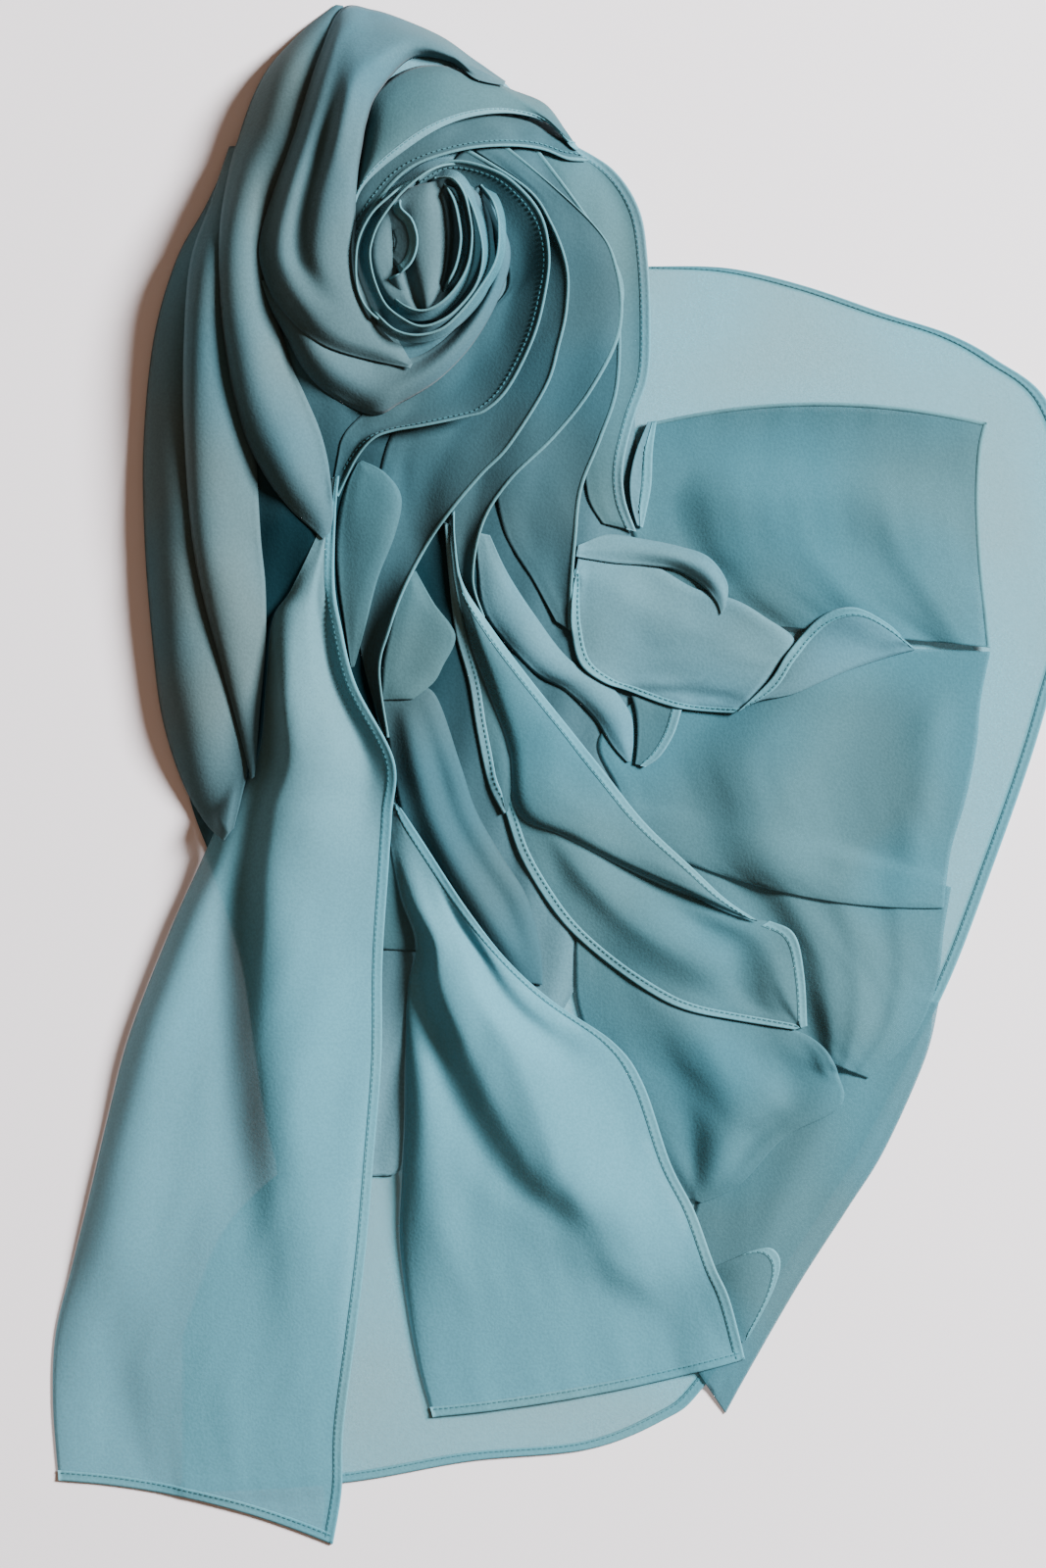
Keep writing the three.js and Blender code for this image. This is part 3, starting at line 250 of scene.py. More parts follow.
stretch("pleat_c", "pleatedAndShaded", "hidden", "hem", [
    [194, 64, 0, 202, 58, 1.2, -0.1],
    [218, 82, 0, 240.8, 92, 5.2, -0.7],
    [220, 104, 0, 251.6, 111.2, 8, -1],
    [216, 126, 0, 252.8, 136, 8, -1],
    [206, 148, 0, 241.6, 160, 8, -1],
    [192, 168, 0, 226, 180, 8, -1],
    [182, 186, 0, 208, 197.6, 8, -1],
    [180, 206, 0, 197.2, 214.8, 8, -1],
    [184, 226, 0, 193.2, 236.8, 5.2, -0.7],
    [190, 246, 0, 197.6, 252, 1.2, -0.1],
], stitched=False)
stretch("fan_lower", "seafoam", "hem", "hem", [
    [202, 318, 1, 212, 306, 0, 1],
    [206.8, 332.8, 1, 228, 318, 0, 2],
    [212.4, 349.2, 0, 246, 334, 0, 3],
    [222.4, 366.4, 0, 262, 352, 0, 4],
    [232.8, 379.6, 0, 280, 364, 0, 4],
    [248.4, 393.2, 0, 298, 373, 0, 5],
    [266.4, 405.6, 0, 315, 376.4, 0, 5],
    [280.4, 412, 0, 324, 382, 0, 4],
    [299.6, 416, 0, 327.6, 398, 0, 3],
    [324, 420, 0, 328.8, 418.6, 0, 0],
], folds=[
    [0.45, 0.45, 0.3, 4, 0.22, -0.3, 0.1, 0.85],
    [0.85, 0.62, 0.15, -3, 0.14, 0, 0.42, 0.98],
    [0.9, 0.8, 0.5, 1.5, 0.15, -0.3, 0.4, 1.1],
], hemSpan={"right": (0.66, 1)})
stretch("fan_turn", "shaded", "hem", "fold", [
    [181.6, 214, 1, 184, 215, 1, 0],
    [183.6, 236, 1, 188, 236, 1, 0],
    [186.4, 258.8, 1, 194, 258, 1, 1],
    [191.6, 278.4, 1, 202, 278, 1, 1],
    [194.8, 298, 1, 208, 298, 1, 1],
    [199.6, 320, 0, 209, 314, 0, 1],
    [205.6, 332, 0, 207.4, 331, 0, 0],
])
stretch("fan_upper", "seafoam", "fold", "hem", [
    [184, 212, 0.8, 185.6, 209.6, 1, 0.8],
    [184.6, 224, 2.2, 186, 222, 3, 2.2],
    [187, 242, 3, 189, 238.6, 4, 3],
    [192, 262, 3, 200, 256, 4, 3],
    [200, 284, 3, 215, 276, 4, 3],
    [208, 306, 3, 231, 296, 4, 3],
    [212, 332, 3, 246, 314.8, 4, 3],
    [232, 342, 3, 263, 336, 4, 3],
    [256, 354, 3, 282, 354, 4, 3],
    [280, 364.6, 2.2, 295.6, 366.8, 3, 2.2],
    [302, 374, 0.8, 308.4, 375.6, 1, 0.8],
], reach=5)
stretch("tail_inner", "pleatedAndShaded", "hidden", "fold", [
    [156, 286, 0, 168, 280, 1, 1],
    [158, 300, 0, 178, 284, 3, 3],
    [161, 320, 0, 188, 312, 4, 4],
    [166, 340, 0, 194, 330, 4, 4],
    [174, 358, 0, 204, 348, 4, 4],
    [184, 374, 0, 215, 366, 4, 4],
    [196, 388, 0, 220.6, 386, 3, 3],
    [208, 400, 0, 221.4, 402, 1, 1],
], folds=[
    [0.35, 0.4, 0.45, 2.5, 0.16, 0, 0, 1],
    [0.68, 0.7, 0.72, -2, 0.12, 0, 0.05, 0.95],
], reach=9)
stretch("gap_fold", "shaded", "hidden", "hidden", [
    [146, 352, 0, 164, 344, 0, 1],
    [148, 366, 0, 172, 362, 0, 1],
    [148, 378, 0, 174, 376, 0, 1],
    [150, 387, 0, 172, 388, 0, 0],
])
stretch("tail_two", "tail", "fold", "hem", [
    [159, 326, 0.4, 163.6, 329.6, 0.2, 0.4],
    [159.6, 344, 1.6, 173, 344, 1, 1.6],
    [164, 366, 2.9, 190, 370, 1.7, 2.9],
    [170, 384, 4.1, 207.6, 392.4, 2.5, 4.1],
    [166.4, 404, 5, 226, 409, 3, 5],
    [165.6, 430, 5, 250, 425.2, 3, 5],
    [165.2, 459.2, 5, 262, 442, 3, 5],
    [164, 482, 5, 273, 474, 3, 5],
    [163.2, 506, 4.1, 283, 494, 2.5, 4.1],
    [166.4, 534, 2.9, 291, 516, 1.7, 2.9],
    [171, 558, 1.6, 297.2, 530, 1, 1.6],
    [176.6, 578, 0.4, 303.6, 554.4, 0.2, 0.4],
], folds=[
    [0.02, 0.24, 0.76, -4, 0.1, 0, 0.22, 0.82],
    [0.18, 0.35, 0.88, 6.5, 0.24, -0.4, 0.06, 0.9],
    [0.5, 0.62, 0.95, 2.5, 0.14, -0.4, 0.3, 1],
    [0.85, 0.66, 0.78, -4, 0.1, 0, 0.12, 0.52],
    [0.04, 0.1, 0.18, 2.5, 0.09, 0, 0.34, 0.85],
], hemEnds=["foot"], reach=10, bow=[0, 0, 0, 0, 0, 0, 0, 0, 0, 0, 2, 3])
stretch("leaf_b", "shaded", "hidden", "fold", [
    [166, 234, 0, 170, 233.6, 0.2, 0.2],
    [162, 246, 0, 177.2, 246.4, 1, 1],
    [159, 258, 0, 186, 259.6, 1.5, 1.5],
    [156.6, 270, 0, 181, 272, 1.5, 1.5],
    [156, 280, 0, 177, 279, 1, 1],
    [155.6, 286, 0, 168.8, 285.6, 0.2, 0.2],
], reach=7)
stretch("pleat_b", "pleatedAndShaded", "hidden", "hem", [
    [184, 70, 0, 190, 63, 1.2, -0.1],
    [206, 84, 0, 214.8, 79.2, 5.2, -0.7],
    [212, 98, 0, 224.8, 93.6, 8, -1],
    [212, 114, 0, 231.2, 111.2, 8, -1],
    [208, 130, 0, 231.2, 128, 8, -1],
    [200, 146, 0, 228, 143.2, 8, -1],
    [190, 158, 0, 222.8, 160, 8, -1],
    [176, 166, 0, 208, 183.6, 8, -1],
    [162, 176, 0, 196.8, 195.2, 8, -1],
    [156, 192, 0, 185.2, 208.8, 8, -1],
    [152, 212, 0, 175.6, 222, 8, -1],
    [148, 232, 0, 165.6, 240.8, 8, -1],
    [146, 252, 0, 159.2, 258, 8, -1],
    [149, 273, 0, 155.2, 274.4, 6, -0.8],
    [157, 301, 0, 158.8, 301, 1, -0.1],
], stitched=False)
stretch("leaf_a", "shaded", "hidden", "fold", [
    [146.6, 190, 0, 148, 189, 0.2, 0.2],
    [142.4, 198, 0, 157.6, 194, 1, 1],
    [139, 210, 0, 164.2, 204, 1.5, 1.5],
    [137.6, 224, 0, 161.6, 219, 1.5, 1.5],
    [138.6, 240, 0, 154.6, 237, 1.5, 1.5],
    [141, 256, 0, 149.6, 256, 1, 1],
    [143.6, 272.8, 0, 145, 272.4, 0.2, 0.2],
], reach=7)
stretch("pleat_a", "pleatedAndShaded", "fold", "hem", [
    [168, 84, 0, 172, 75.6, 1.2, -0.1],
    [180, 80, 0, 184.4, 68.8, 5.2, -0.7],
    [194, 84, 0, 202, 72.8, 8, -1],
    [202, 94, 0, 213.6, 81.2, 8, -1],
    [206, 106, 0, 221.2, 92, 8, -1],
    [207, 120, 0, 224, 106, 8, -1],
    [196, 132, 0, 222.8, 120.4, 8, -1],
    [187, 143, 0, 218, 139.6, 8, -1],
    [178, 151, 0, 208, 160, 8, -1],
    [169, 158, 0, 198.4, 169.6, 8, -1],
    [160, 164, 0, 189.2, 172.4, 8, -1],
    [150.4, 169.4, 0, 173.2, 175.6, 8, -1],
    [144, 175, 0, 160.8, 177.6, 8, -1],
    [140, 181, 0, 152.8, 180.8, 8, -1],
    [138.4, 188.6, 0, 145.8, 189, 5.2, -0.7],
    [136.2, 201, 0, 138.6, 203.4, 1.2, -0.1],
])
stretch("tail_one", "tail", "fold", "hem", [
    [136.4, 196, 0.3, 138.8, 195.4, 0.1, 0.5],
    [133, 212, 1.5, 137.4, 210.6, 1, 2.4],
    [120, 240, 2.9, 136.8, 238.4, 3, 2],
    [111.6, 253.6, 4.1, 139.6, 256.4, 5.5, 2.5],
    [108.8, 280, 5, 145.6, 280, 7, 3],
    [105.6, 308, 5, 160.8, 310, 7, 4],
    [92.8, 328.8, 7, 160, 332, 5, 5],
    [80.8, 354.4, 8, 158.4, 356, 3, 5],
    [68.8, 381.2, 8, 156, 393.2, 3, 5],
    [52.8, 422.4, 7, 155.6, 432, 3, 5],
    [44, 456, 5, 152.4, 472, 3, 5],
    [36.8, 486.8, 5, 149.2, 509.6, 3, 5],
    [29.6, 516, 4.1, 144.8, 546, 2.5, 4.1],
    [22.8, 544, 2.9, 140, 583.2, 1.7, 2.9],
    [21.6, 572, 1.6, 139.2, 608, 1, 1.6],
    [24, 604, 0.4, 135.6, 630, 0.2, 0.4],
], folds=[
    [-0.04, 0.34, 0.82, -4, 0.12, 0, 0.2, 0.86],
    [0.04, 0.42, 0.94, 8.5, 0.25, -0.4, 0.08, 0.9],
    [0.72, 0.74, 0.86, -6, 0.13, 0, -0.05, 0.46],
    [0.1, 0.12, 0.16, 3, 0.12, 0, 0.34, 0.95],
    [0.14, 0.22, 0.3, -2, 0.11, 0, 0.76, 1.1],
], hemEnds=["foot"], reach=11, bow=[0, 0, 0, 0, 0, 0, 0, 0, 0, 0, 0, 0, 0, -1, -3, -5])
stretch("roll_outer", "rolled", "fold", "hidden", [
    [94.4, 62, 1.6, 100, 62, 0, 0.6],
    [84, 84, 6.8, 100, 84, 0, 2.6],
    [72, 106, 12, 96, 106, 0, 4.6],
    [62.8, 138, 13, 90, 140, 0, 5],
    [58.6, 180, 13, 90, 180, 0, 5],
    [59, 220, 13, 92, 216, 0, 5],
    [62, 260, 13, 96, 252, 0, 5],
    [66, 292, 12, 101, 286, 0, 4.6],
    [74, 318, 8, 102, 310, 0, 3],
    [84, 336, 4, 99, 326, 0, 1.5],
    [92, 343, 0.8, 96, 338, 0, 0.4],
], reach=18)
stretch("roll_middle", "rolled", "fold", "hidden", [
    [93.6, 60, 1.6, 104, 60, 0, 0.5],
    [86, 84, 6, 104, 84, 0, 2.1],
    [78.4, 108, 9, 102, 106, 0, 3.7],
    [76, 140, 10, 104, 140, 0, 4],
    [76, 176, 10, 105, 176, 0, 4],
    [79, 218, 10, 107, 218, 0, 4],
    [84, 246, 10, 109, 240, 0, 4],
    [91, 272, 9, 109, 264, 0, 3],
    [98, 298, 6, 106.5, 292, 0, 2],
    [103, 318, 1.6, 104.5, 317, 0, 0.5],
], reach=16)
stretch("roll_inner", "rolled", "fold", "hidden", [
    [137, 2, 1.3, 140, 2.4, 0, 0.8],
    [122, 14, 6, 142, 10, 0, 4],
    [107, 32, 10, 136, 28, 0, 6],
    [97, 58, 10, 128, 58, 0, 6],
    [91, 90, 10, 116, 90, 0, 6],
    [91, 124, 10, 114, 124, 0, 6],
    [94, 150, 10, 119, 148, 0, 6],
    [97.5, 167, 10, 125, 162, 0, 6],
    [102.5, 183, 10, 131, 176, 0, 6],
    [110, 197, 9, 134.5, 189, 0, 5],
    [119, 208.5, 6, 136, 202, 0, 4],
    [127, 216, 3.5, 136.6, 211, 0, 2],
    [132.5, 221, 1.2, 135.4, 218, 0, 0.5],
], reach=16)
stretch("back_band", "pleatedAndShaded", "hidden", "hem", [
    [140, 96, 0, 148, 96, 1, -0.1],
    [146, 78, 0, 156, 84, 3, -0.4],
    [158, 66, 0, 168.4, 71.6, 4, -0.5],
    [174, 55, 0, 188.4, 64.4, 4, -0.5],
    [192, 48.6, 0, 207.2, 62, 4, -0.5],
    [212, 48.6, 0, 221.2, 62.8, 4, -0.5],
    [228, 53, 0, 231.6, 66.4, 3, -0.4],
    [234, 62, 0, 239.6, 66.4, 1, -0.1],
])
stretch("back_petal", "shaded", "fold", "hem", [
    [143.6, 100, 0.5, 143, 100.8, 1.2, 1.2],
    [143.6, 84, 1.5, 148.4, 80, 3.8, 3.8],
    [149, 56, 2, 168.4, 62.8, 5, 5],
    [154, 40, 2, 185.6, 52.8, 5, 5],
    [170, 29, 2, 203.6, 48.4, 5, 5],
    [190, 30, 2, 217.2, 49.2, 5, 5],
    [207.2, 36.4, 2, 226.4, 53.2, 5, 5],
    [222.8, 42.8, 1.5, 233.2, 61.6, 3.8, 3.8],
    [232.8, 57.2, 0.5, 236, 62, 1.2, 1.2],
], reach=8)
stretch("petal_lower", "solid", "fold", "hidden", [
    [108, 117, 1, 116, 114, 0, 1],
    [111.6, 128, 4, 124, 121, 0, 4],
    [118, 140, 6, 134, 132, 0, 6],
    [124.4, 152, 6, 140, 140, 0, 6],
    [134, 162, 6, 147, 145, 0, 6],
    [152.4, 171, 6, 158, 148, 0, 6],
    [164, 166.4, 6, 169, 148, 0, 6],
    [180, 156.4, 6, 180, 142, 0, 6],
    [194, 141.2, 6, 190, 132, 0, 6],
    [204.4, 122, 6, 198, 119, 0, 6],
    [208.4, 104.8, 6, 201, 104, 0, 6],
    [202.8, 89.6, 3.9, 198, 92, 0, 3.9],
    [195.2, 79.2, 0.9, 193, 81, 0, 0.9],
], reach=11)
stretch("petal_outer", "solid", "fold", "fold", [
    [205.6, 36.4, 0.6, 206.4, 34, 0.5, 1],
    [194.4, 34.4, 3, 193, 24.4, 2, 4],
    [184.4, 27.2, 5, 181, 15.6, 4, 6],
    [168.4, 25.6, 6, 166, 8.6, 5, 8],
    [154.8, 41.2, 6, 152, 4, 5, 9],
    [150.4, 52.8, 7, 139.4, 4, 5, 9],
    [148.6, 63, 7, 130.4, 25.6, 5, 9],
    [147, 74, 7, 120.4, 58.8, 5, 9],
    [146, 90, 7, 112, 82, 5, 9],
    [147, 104, 7, 107, 102, 5, 9],
    [149, 114.8, 7, 109, 116, 5, 9],
    [155, 128, 6, 117, 130, 4, 8],
    [162, 139, 4, 134, 144, 3, 5],
    [168.8, 150.6, 0.6, 167.8, 152.4, 0.6, 0.6],
], folds=[
    [0.5, 0.6, 0.5, -4.5, 0.14, 0, 0.42, 0.86],
    [0.3, 0.35, 0.4, 2.5, 0.16, 0, 0.2, 0.6],
    [0.86, 0.84, 0.7, 2, 0.12, 0, 0.3, 0.8],
], reach=12, leftReach=3)
stretch("heart_petal", "solid", "fold", "fold", [
    [166, 80, 3, 188, 75, 3, 1],
    [157, 88, 5, 197, 84, 5, 2],
    [152, 98, 6, 201, 95, 6, 2],
    [151, 108, 6, 201, 106, 6, 2],
    [154, 118, 6, 197, 117, 6, 2],
    [160, 127, 6, 189, 126, 6, 2],
    [169, 134, 4, 180, 133, 4, 1],
], folds=[
    [0.36, 0.48, 0.52, 4.5, 0.2, 0.35, -0.1, 1.05],
    [0.68, 0.74, 0.6, -5, 0.08, 0, -0.1, 1.05],
    [0.2, 0.3, 0.46, -4, 0.07, 0, 0.1, 1.05],
], reach=4, ripple=0.1)


def curve(rows, share):
    # Catmull-Rom through the rows of a table, read at shares from 0 to 1
    last = len(rows) - 1
    place = np.clip(share, 0, 1) * last
    first = np.minimum(place.astype(int), last - 1)
    t = (place - first)[:, None]
    a, b, c, d = (rows[np.clip(first + k, 0, last)] for k in (-1, 0, 1, 2))
    return b + 0.5 * t * (c - a + t * (2 * a - 5 * b + 4 * c - d + t * (3 * (b - c) + d - a)))


def ease(share):
    # 0 below 0, 1 above 1 and a smooth step between them
    t = np.clip(share, 0, 1)
    return t * t * (3 - 2 * t)


def blur(field, reach, passes):
    # a running mean over 2 reach + 1 cells, both ways, several times
    for _ in range(passes):
        for axis in (0, 1):
            pad = [(reach + 1, reach) if k == axis else (0, 0) for k in (0, 1)]
            total = np.cumsum(np.pad(field, pad, mode="edge"), axis=axis)
            size = field.shape[axis]
            high = np.take(total, np.arange(2 * reach + 1, 2 * reach + 1 + size), axis=axis)
            low = np.take(total, np.arange(size), axis=axis)
            field = (high - low) / (2 * reach + 1)
    return field


def widen(field, reach):
    # the highest value within reach cells, both ways
    for axis in (0, 1):
        best = field.copy()
        for step in range(1, reach + 1):
            best = np.maximum(best, np.roll(field, step, axis))
            best = np.maximum(best, np.roll(field, -step, axis))
        field = best
    return field


def sample(field, across, down):
    # a field of the pile between its cells
    x = np.clip(across, 0, field.shape[1] - 1.001)
    y = np.clip(down, 0, field.shape[0] - 1.001)
    i, j = x.astype(int), y.astype(int)
    s, t = x - i, y - j
    top = field[j, i] * (1 - s) + field[j, i + 1] * s
    return top * (1 - t) + (field[j + 1, i] * (1 - s) + field[j + 1, i + 1] * s) * t


pile = np.zeros((table["down"], table["across"]))


def above(cells, passes, across, down):
    # a smooth surface over the pile, widened by some cells
    return sample(blur(widen(pile, cells), 1, passes), across, down)


def record(points):
    # keeps the highest point over each cell; points is rows x columns x 3
    rows, cols = points.shape[:2]
    fineRows = np.linspace(0, rows - 1, 3 * rows)
    fineCols = np.linspace(0, cols - 1, 3 * cols)
    i = np.minimum(fineRows.astype(int), rows - 2)
    s = (fineRows - i)[:, None, None]
    tall = points[i] * (1 - s) + points[i + 1] * s
    j = np.minimum(fineCols.astype(int), cols - 2)
    t = (fineCols - j)[None, :, None]
    fine = tall[:, j] * (1 - t) + tall[:, j + 1] * t
    x = np.clip(np.rint(fine[..., 0]).astype(int), 0, table["across"] - 1)
    y = np.clip(np.rint(fine[..., 1]).astype(int), 0, table["down"] - 1)
    np.maximum.at(pile, (y.ravel(), x.ravel()), fine[..., 2].ravel())


def gridFaces(rows, cols, aroundToo=False):
    # quads over a grid of rows x cols vertices, closed across if aroundToo
    r = np.arange(rows - 1)[:, None]
    c = np.arange(cols if aroundToo else cols - 1)[None, :]
    after = (c + 1) % cols
    corners = [r * cols + c, (r + 1) * cols + c, (r + 1) * cols + after, r * cols + after]
    quads = [np.broadcast_to(k, (rows - 1, c.shape[1])) for k in corners]
    return np.stack(quads, -1).reshape(-1, 4)


def toTable(points):
    # millimetres across, down and up, to metres in the row frame
    return np.stack([points[..., 0] - table["middleAcross"],
                     table["middleDown"] - points[..., 1], points[..., 2]], -1) / 1000


def buildMesh(name, points, faces, uv=None, smooth=True):
    mesh = bpy.data.meshes.new(name)
    mesh.from_pydata(toTable(points).reshape(-1, 3).tolist(), [], faces.tolist())
    if uv is not None:
        layer = mesh.uv_layers.new(name="cloth")
        layer.data.foreach_set("uv", uv.reshape(-1, 2)[faces.ravel()].astype(np.float32).ravel())
    mesh.polygons.foreach_set("use_smooth", np.full(len(mesh.polygons), smooth))
    mesh.validate()
    mesh.update()
    piece = bpy.data.objects.new(name, mesh)
    bpy.context.scene.collection.objects.link(piece)
    return piece


def dress(piece, material, node):
    piece.data.materials.append(material)
    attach(piece, "root")
    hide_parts(node)
    return piece


def surfaceGrid(name, points, material, node):
    # a shell of cloth over a grid of points, its upper side up
    edgeAlong = points[1:, :-1] - points[:-1, :-1]
    edgeAcross = points[:-1, 1:] - points[:-1, :-1]
    turn = (edgeAlong[..., 0] * edgeAcross[..., 1] - edgeAlong[..., 1] * edgeAcross[..., 0]).sum()
    if turn > 0:
        points = points[:, ::-1]
    rows, cols = points.shape[:2]
    stepAcross = np.linalg.norm(np.diff(points, axis=1), axis=2)
    stepAlong = np.linalg.norm(np.diff(points, axis=0), axis=2)
    uv = np.zeros((rows, cols, 2))
    uv[:, 1:, 0] = np.cumsum(stepAcross, axis=1) / 1000
    uv[1:, :, 1] = np.cumsum(stepAlong, axis=0) / 1000
    piece = buildMesh(name, points, gridFaces(rows, cols), uv)
    wall = piece.modifiers.new("wall", "SOLIDIFY")
    wall.thickness = cloth["thickness"] / 1000
    wall.offset = -1
    wall.use_even_offset = False
    dress(piece, material, node)
    area = (stepAcross[:-1] * stepAlong[:, :-1]).sum() / 1e6
    length = stepAlong.sum(axis=0).mean() / 1000
    return piece, area, length


def linear(code):
    # an sRGB hex colour as linear values
    parts = [int(code[k:k + 2], 16) / 255 for k in (1, 3, 5)]
    return [p / 12.92 if p <= 0.04045 else ((p + 0.055) / 1.055) ** 2.4 for p in parts] + [1]


def addNode(tree, kind, settings=None, links=None):
    # a node, its settings or socket values, and its inputs from other sockets
    node = tree.nodes.new(kind)
    for key, value in (settings or {}).items():
        if key in node.inputs:
            node.inputs[key].default_value = value
        else:
            setattr(node, key, value)
    for key, source in (links or {}).items():
        tree.links.new(source, node.inputs[key])
    return node


# Crepe chiffon: a matt, grainy weave of hard-twisted yarn. It hardly shines,
# glows a little at grazing angles and shows what lies under a single layer.
chiffon = {
    "roughness": 0.85,
    "sheen": 0.06,
    "sheenRoughness": 0.5,
    "grain": 0.0011,         # crepe grain in metres, three times the real yarn's
    "grainDepth": 0.00016,
    "gloss": 0.25,
    "patch": 0.075,          # size of the soft patches of colour, in metres
    "patchEdge": (0.38, 0.62),   # the noise values between which a patch ends
}


def makeChiffon(name, coolTint, warmTint, alpha, fade=None, sheen=1.0):
    # fade is (centre, near, far): between these distances from a point, the
    # first tint gives way to the second; without it, they lie in patches.
    # sheen scales both the glow and the gloss.
    material = bpy.data.materials.new(name)
    material.use_nodes = True
    tree = material.node_tree
    tree.nodes.clear()
    place = addNode(tree, "ShaderNodeTexCoord").outputs["Object"]
    patches = addNode(tree, "ShaderNodeTexNoise",
                      {"Scale": 1 / chiffon["patch"], "Detail": 1.0}, {"Vector": place})
    centre, first, last = fade or ((0.0, 0.0, 0.0), *chiffon["patchEdge"])
    away = addNode(tree, "ShaderNodeVectorMath", {"operation": "DISTANCE"}, {0: place})
    away.inputs[1].default_value = centre
    spread = addNode(tree, "ShaderNodeMapRange", {"From Min": first, "From Max": last},
                     {"Value": away.outputs["Value"] if fade else patches.outputs["Fac"]})
    tint = addNode(tree, "ShaderNodeMix", {"data_type": "RGBA"}, {0: spread.outputs["Result"]})
    tint.inputs[6].default_value = linear(coolTint)
    tint.inputs[7].default_value = linear(warmTint)
    grain = addNode(tree, "ShaderNodeTexNoise",
                    {"Scale": 1 / chiffon["grain"], "Detail": 2.0}, {"Vector": place})
    speckle = addNode(tree, "ShaderNodeMapRange",
                      {"From Min": 0.35, "From Max": 0.65, "To Min": 0.93, "To Max": 1.07},
                      {"Value": grain.outputs["Fac"]})
    yarn = addNode(tree, "ShaderNodeHueSaturation", None,
                   {"Value": speckle.outputs["Result"], "Color": tint.outputs[2]})
    bump = addNode(tree, "ShaderNodeBump",
                   {"Strength": 0.7, "Distance": chiffon["grainDepth"]}, {"Height": grain.outputs["Fac"]})
    look = addNode(tree, "ShaderNodeBsdfPrincipled", {
        "Roughness": chiffon["roughness"], "Alpha": alpha,
        "Specular IOR Level": chiffon["gloss"] * sheen,
        "Sheen Weight": chiffon["sheen"] * sheen, "Sheen Roughness": chiffon["sheenRoughness"],
    }, {"Base Color": yarn.outputs["Color"], "Normal": bump.outputs["Normal"]})
    addNode(tree, "ShaderNodeOutputMaterial", links={"Surface": look.outputs["BSDF"]})
    return material


# The cloth's tones: sheer where one layer lies alone; darker copies carry painted shade for pieces in
# shade, for the pleats and for the hollows
tones = {
    "seafoam": makeChiffon("chiffon", "#3a6f7a", "#436c72", 0.7),
    "tail": makeChiffon("chiffonTail", "#5a868d", "#5593a0", 0.62,
                        ((-0.1, 1.0, 0.0), 0.97, 1.1)),
    "solid": makeChiffon("chiffonLayered", "#365c65", "#3f5a5e", 1.0, None, 0.75),
    "ruffled": makeChiffon("chiffonRuffled", "#3f6c77", "#486d73", 1.0, None, 0.8),
    "rolled": makeChiffon("chiffonRolled", "#3a5f67", "#475c5d", 1.0, None, 0.7),
    # painted shade: a darker copy of the chiffon for pieces that lie in shade
    "shaded": makeChiffon("chiffonShaded", "#30575e", "#38585b", 1.0, None, 0.85),
    "pale": makeChiffon("chiffonSingle", "#5fa5b1", "#689fa7", 0.5),
    "ringed": makeChiffon("chiffonRing", "#3f747e", "#48727a", 0.6, None, 0.8),
    # partly painted shade: the pleats and bands around the rose are a darker copy of the chiffon, deeper
    # for their stacked layers and darker still for the shade they lie in
    "pleatedAndShaded": makeChiffon("chiffonPleatsAndShade", "#284d55", "#304c50", 1.0, None, 0.8),
    # painted shade: the hidden layers show only in the hollows, so their tone is near black, with no
    # gloss or sheen, within 45 mm of one point near the dark hollow, and gives way to the lighter tint by
    # 260 mm from it, where less shade falls
    "hollowShade": makeChiffon("chiffonHollowShade", "#10262b", "#628e97", 1.0,
                        ((-0.096, 0.065, 0.0), 0.045, 0.26), 0.0),
}
hemTones = {
    "seafoam": makeChiffon("hemDoubled", "#457d88", "#4f8087", 1.0),
    "shaded": makeChiffon("hemShaded", "#4b7f89", "#547b81", 1.0),
    # partly painted highlight: the narrow rim is lighter than the cloth it edges, for its doubled cloth
    # and for the light its raised bead catches
    "rim": makeChiffon("hemEdgeHighlight", "#44747c", "#4a7478", 1.0),
    "stitch": makeChiffon("hemThread", "#356f79", "#3c6a70", 1.0),
}
# The hem's tone on each tone of cloth
hemOf = {"seafoam": "seafoam", "tail": "seafoam", "ruffled": "seafoam", "pale": "seafoam",
         "shaded": "shaded", "pleatedAndShaded": "rim", "ringed": "rim", "solid": "seafoam"}

# The hem: the edge rolled under and stitched, a band with a bead at its edge.
# A profile is (distance from the edge, height above the cloth's top), its
# upper side first. The rim tone has the narrow one.
hem = {
    "profile": [(-0.35, -0.15), (-0.1, 0.35), (0.5, 0.5), (1.1, 0.3), (2.6, 0.22),
                (3.7, 0.3), (4.1, -0.05), (3.0, -0.5), (0.8, -0.6), (-0.1, -0.55)],
    "narrow": [(-0.35, -0.1), (-0.1, 0.35), (0.4, 0.5), (0.9, 0.35), (1.3, 0.1), (1.6, -0.2),
               (1.3, -0.45), (0.8, -0.55), (0.2, -0.55), (-0.2, -0.4)],
    "width": 4.0,
    "stitchAt": 3.1,
    "stitchRoom": 2.6,       # narrower cloth has no stitches
    "stitchPitch": 2.2,
    "stitchLift": 0.3,
    "stitchSize": (1.25, 0.42, 0.34),
}


def edgeOf(points, side):
    # the grid turned so that its first column is the named edge
    turned = {"left": points, "right": points[:, ::-1],
              "head": points.transpose(1, 0, 2), "foot": points[::-1].transpose(1, 0, 2)}
    return turned[side]


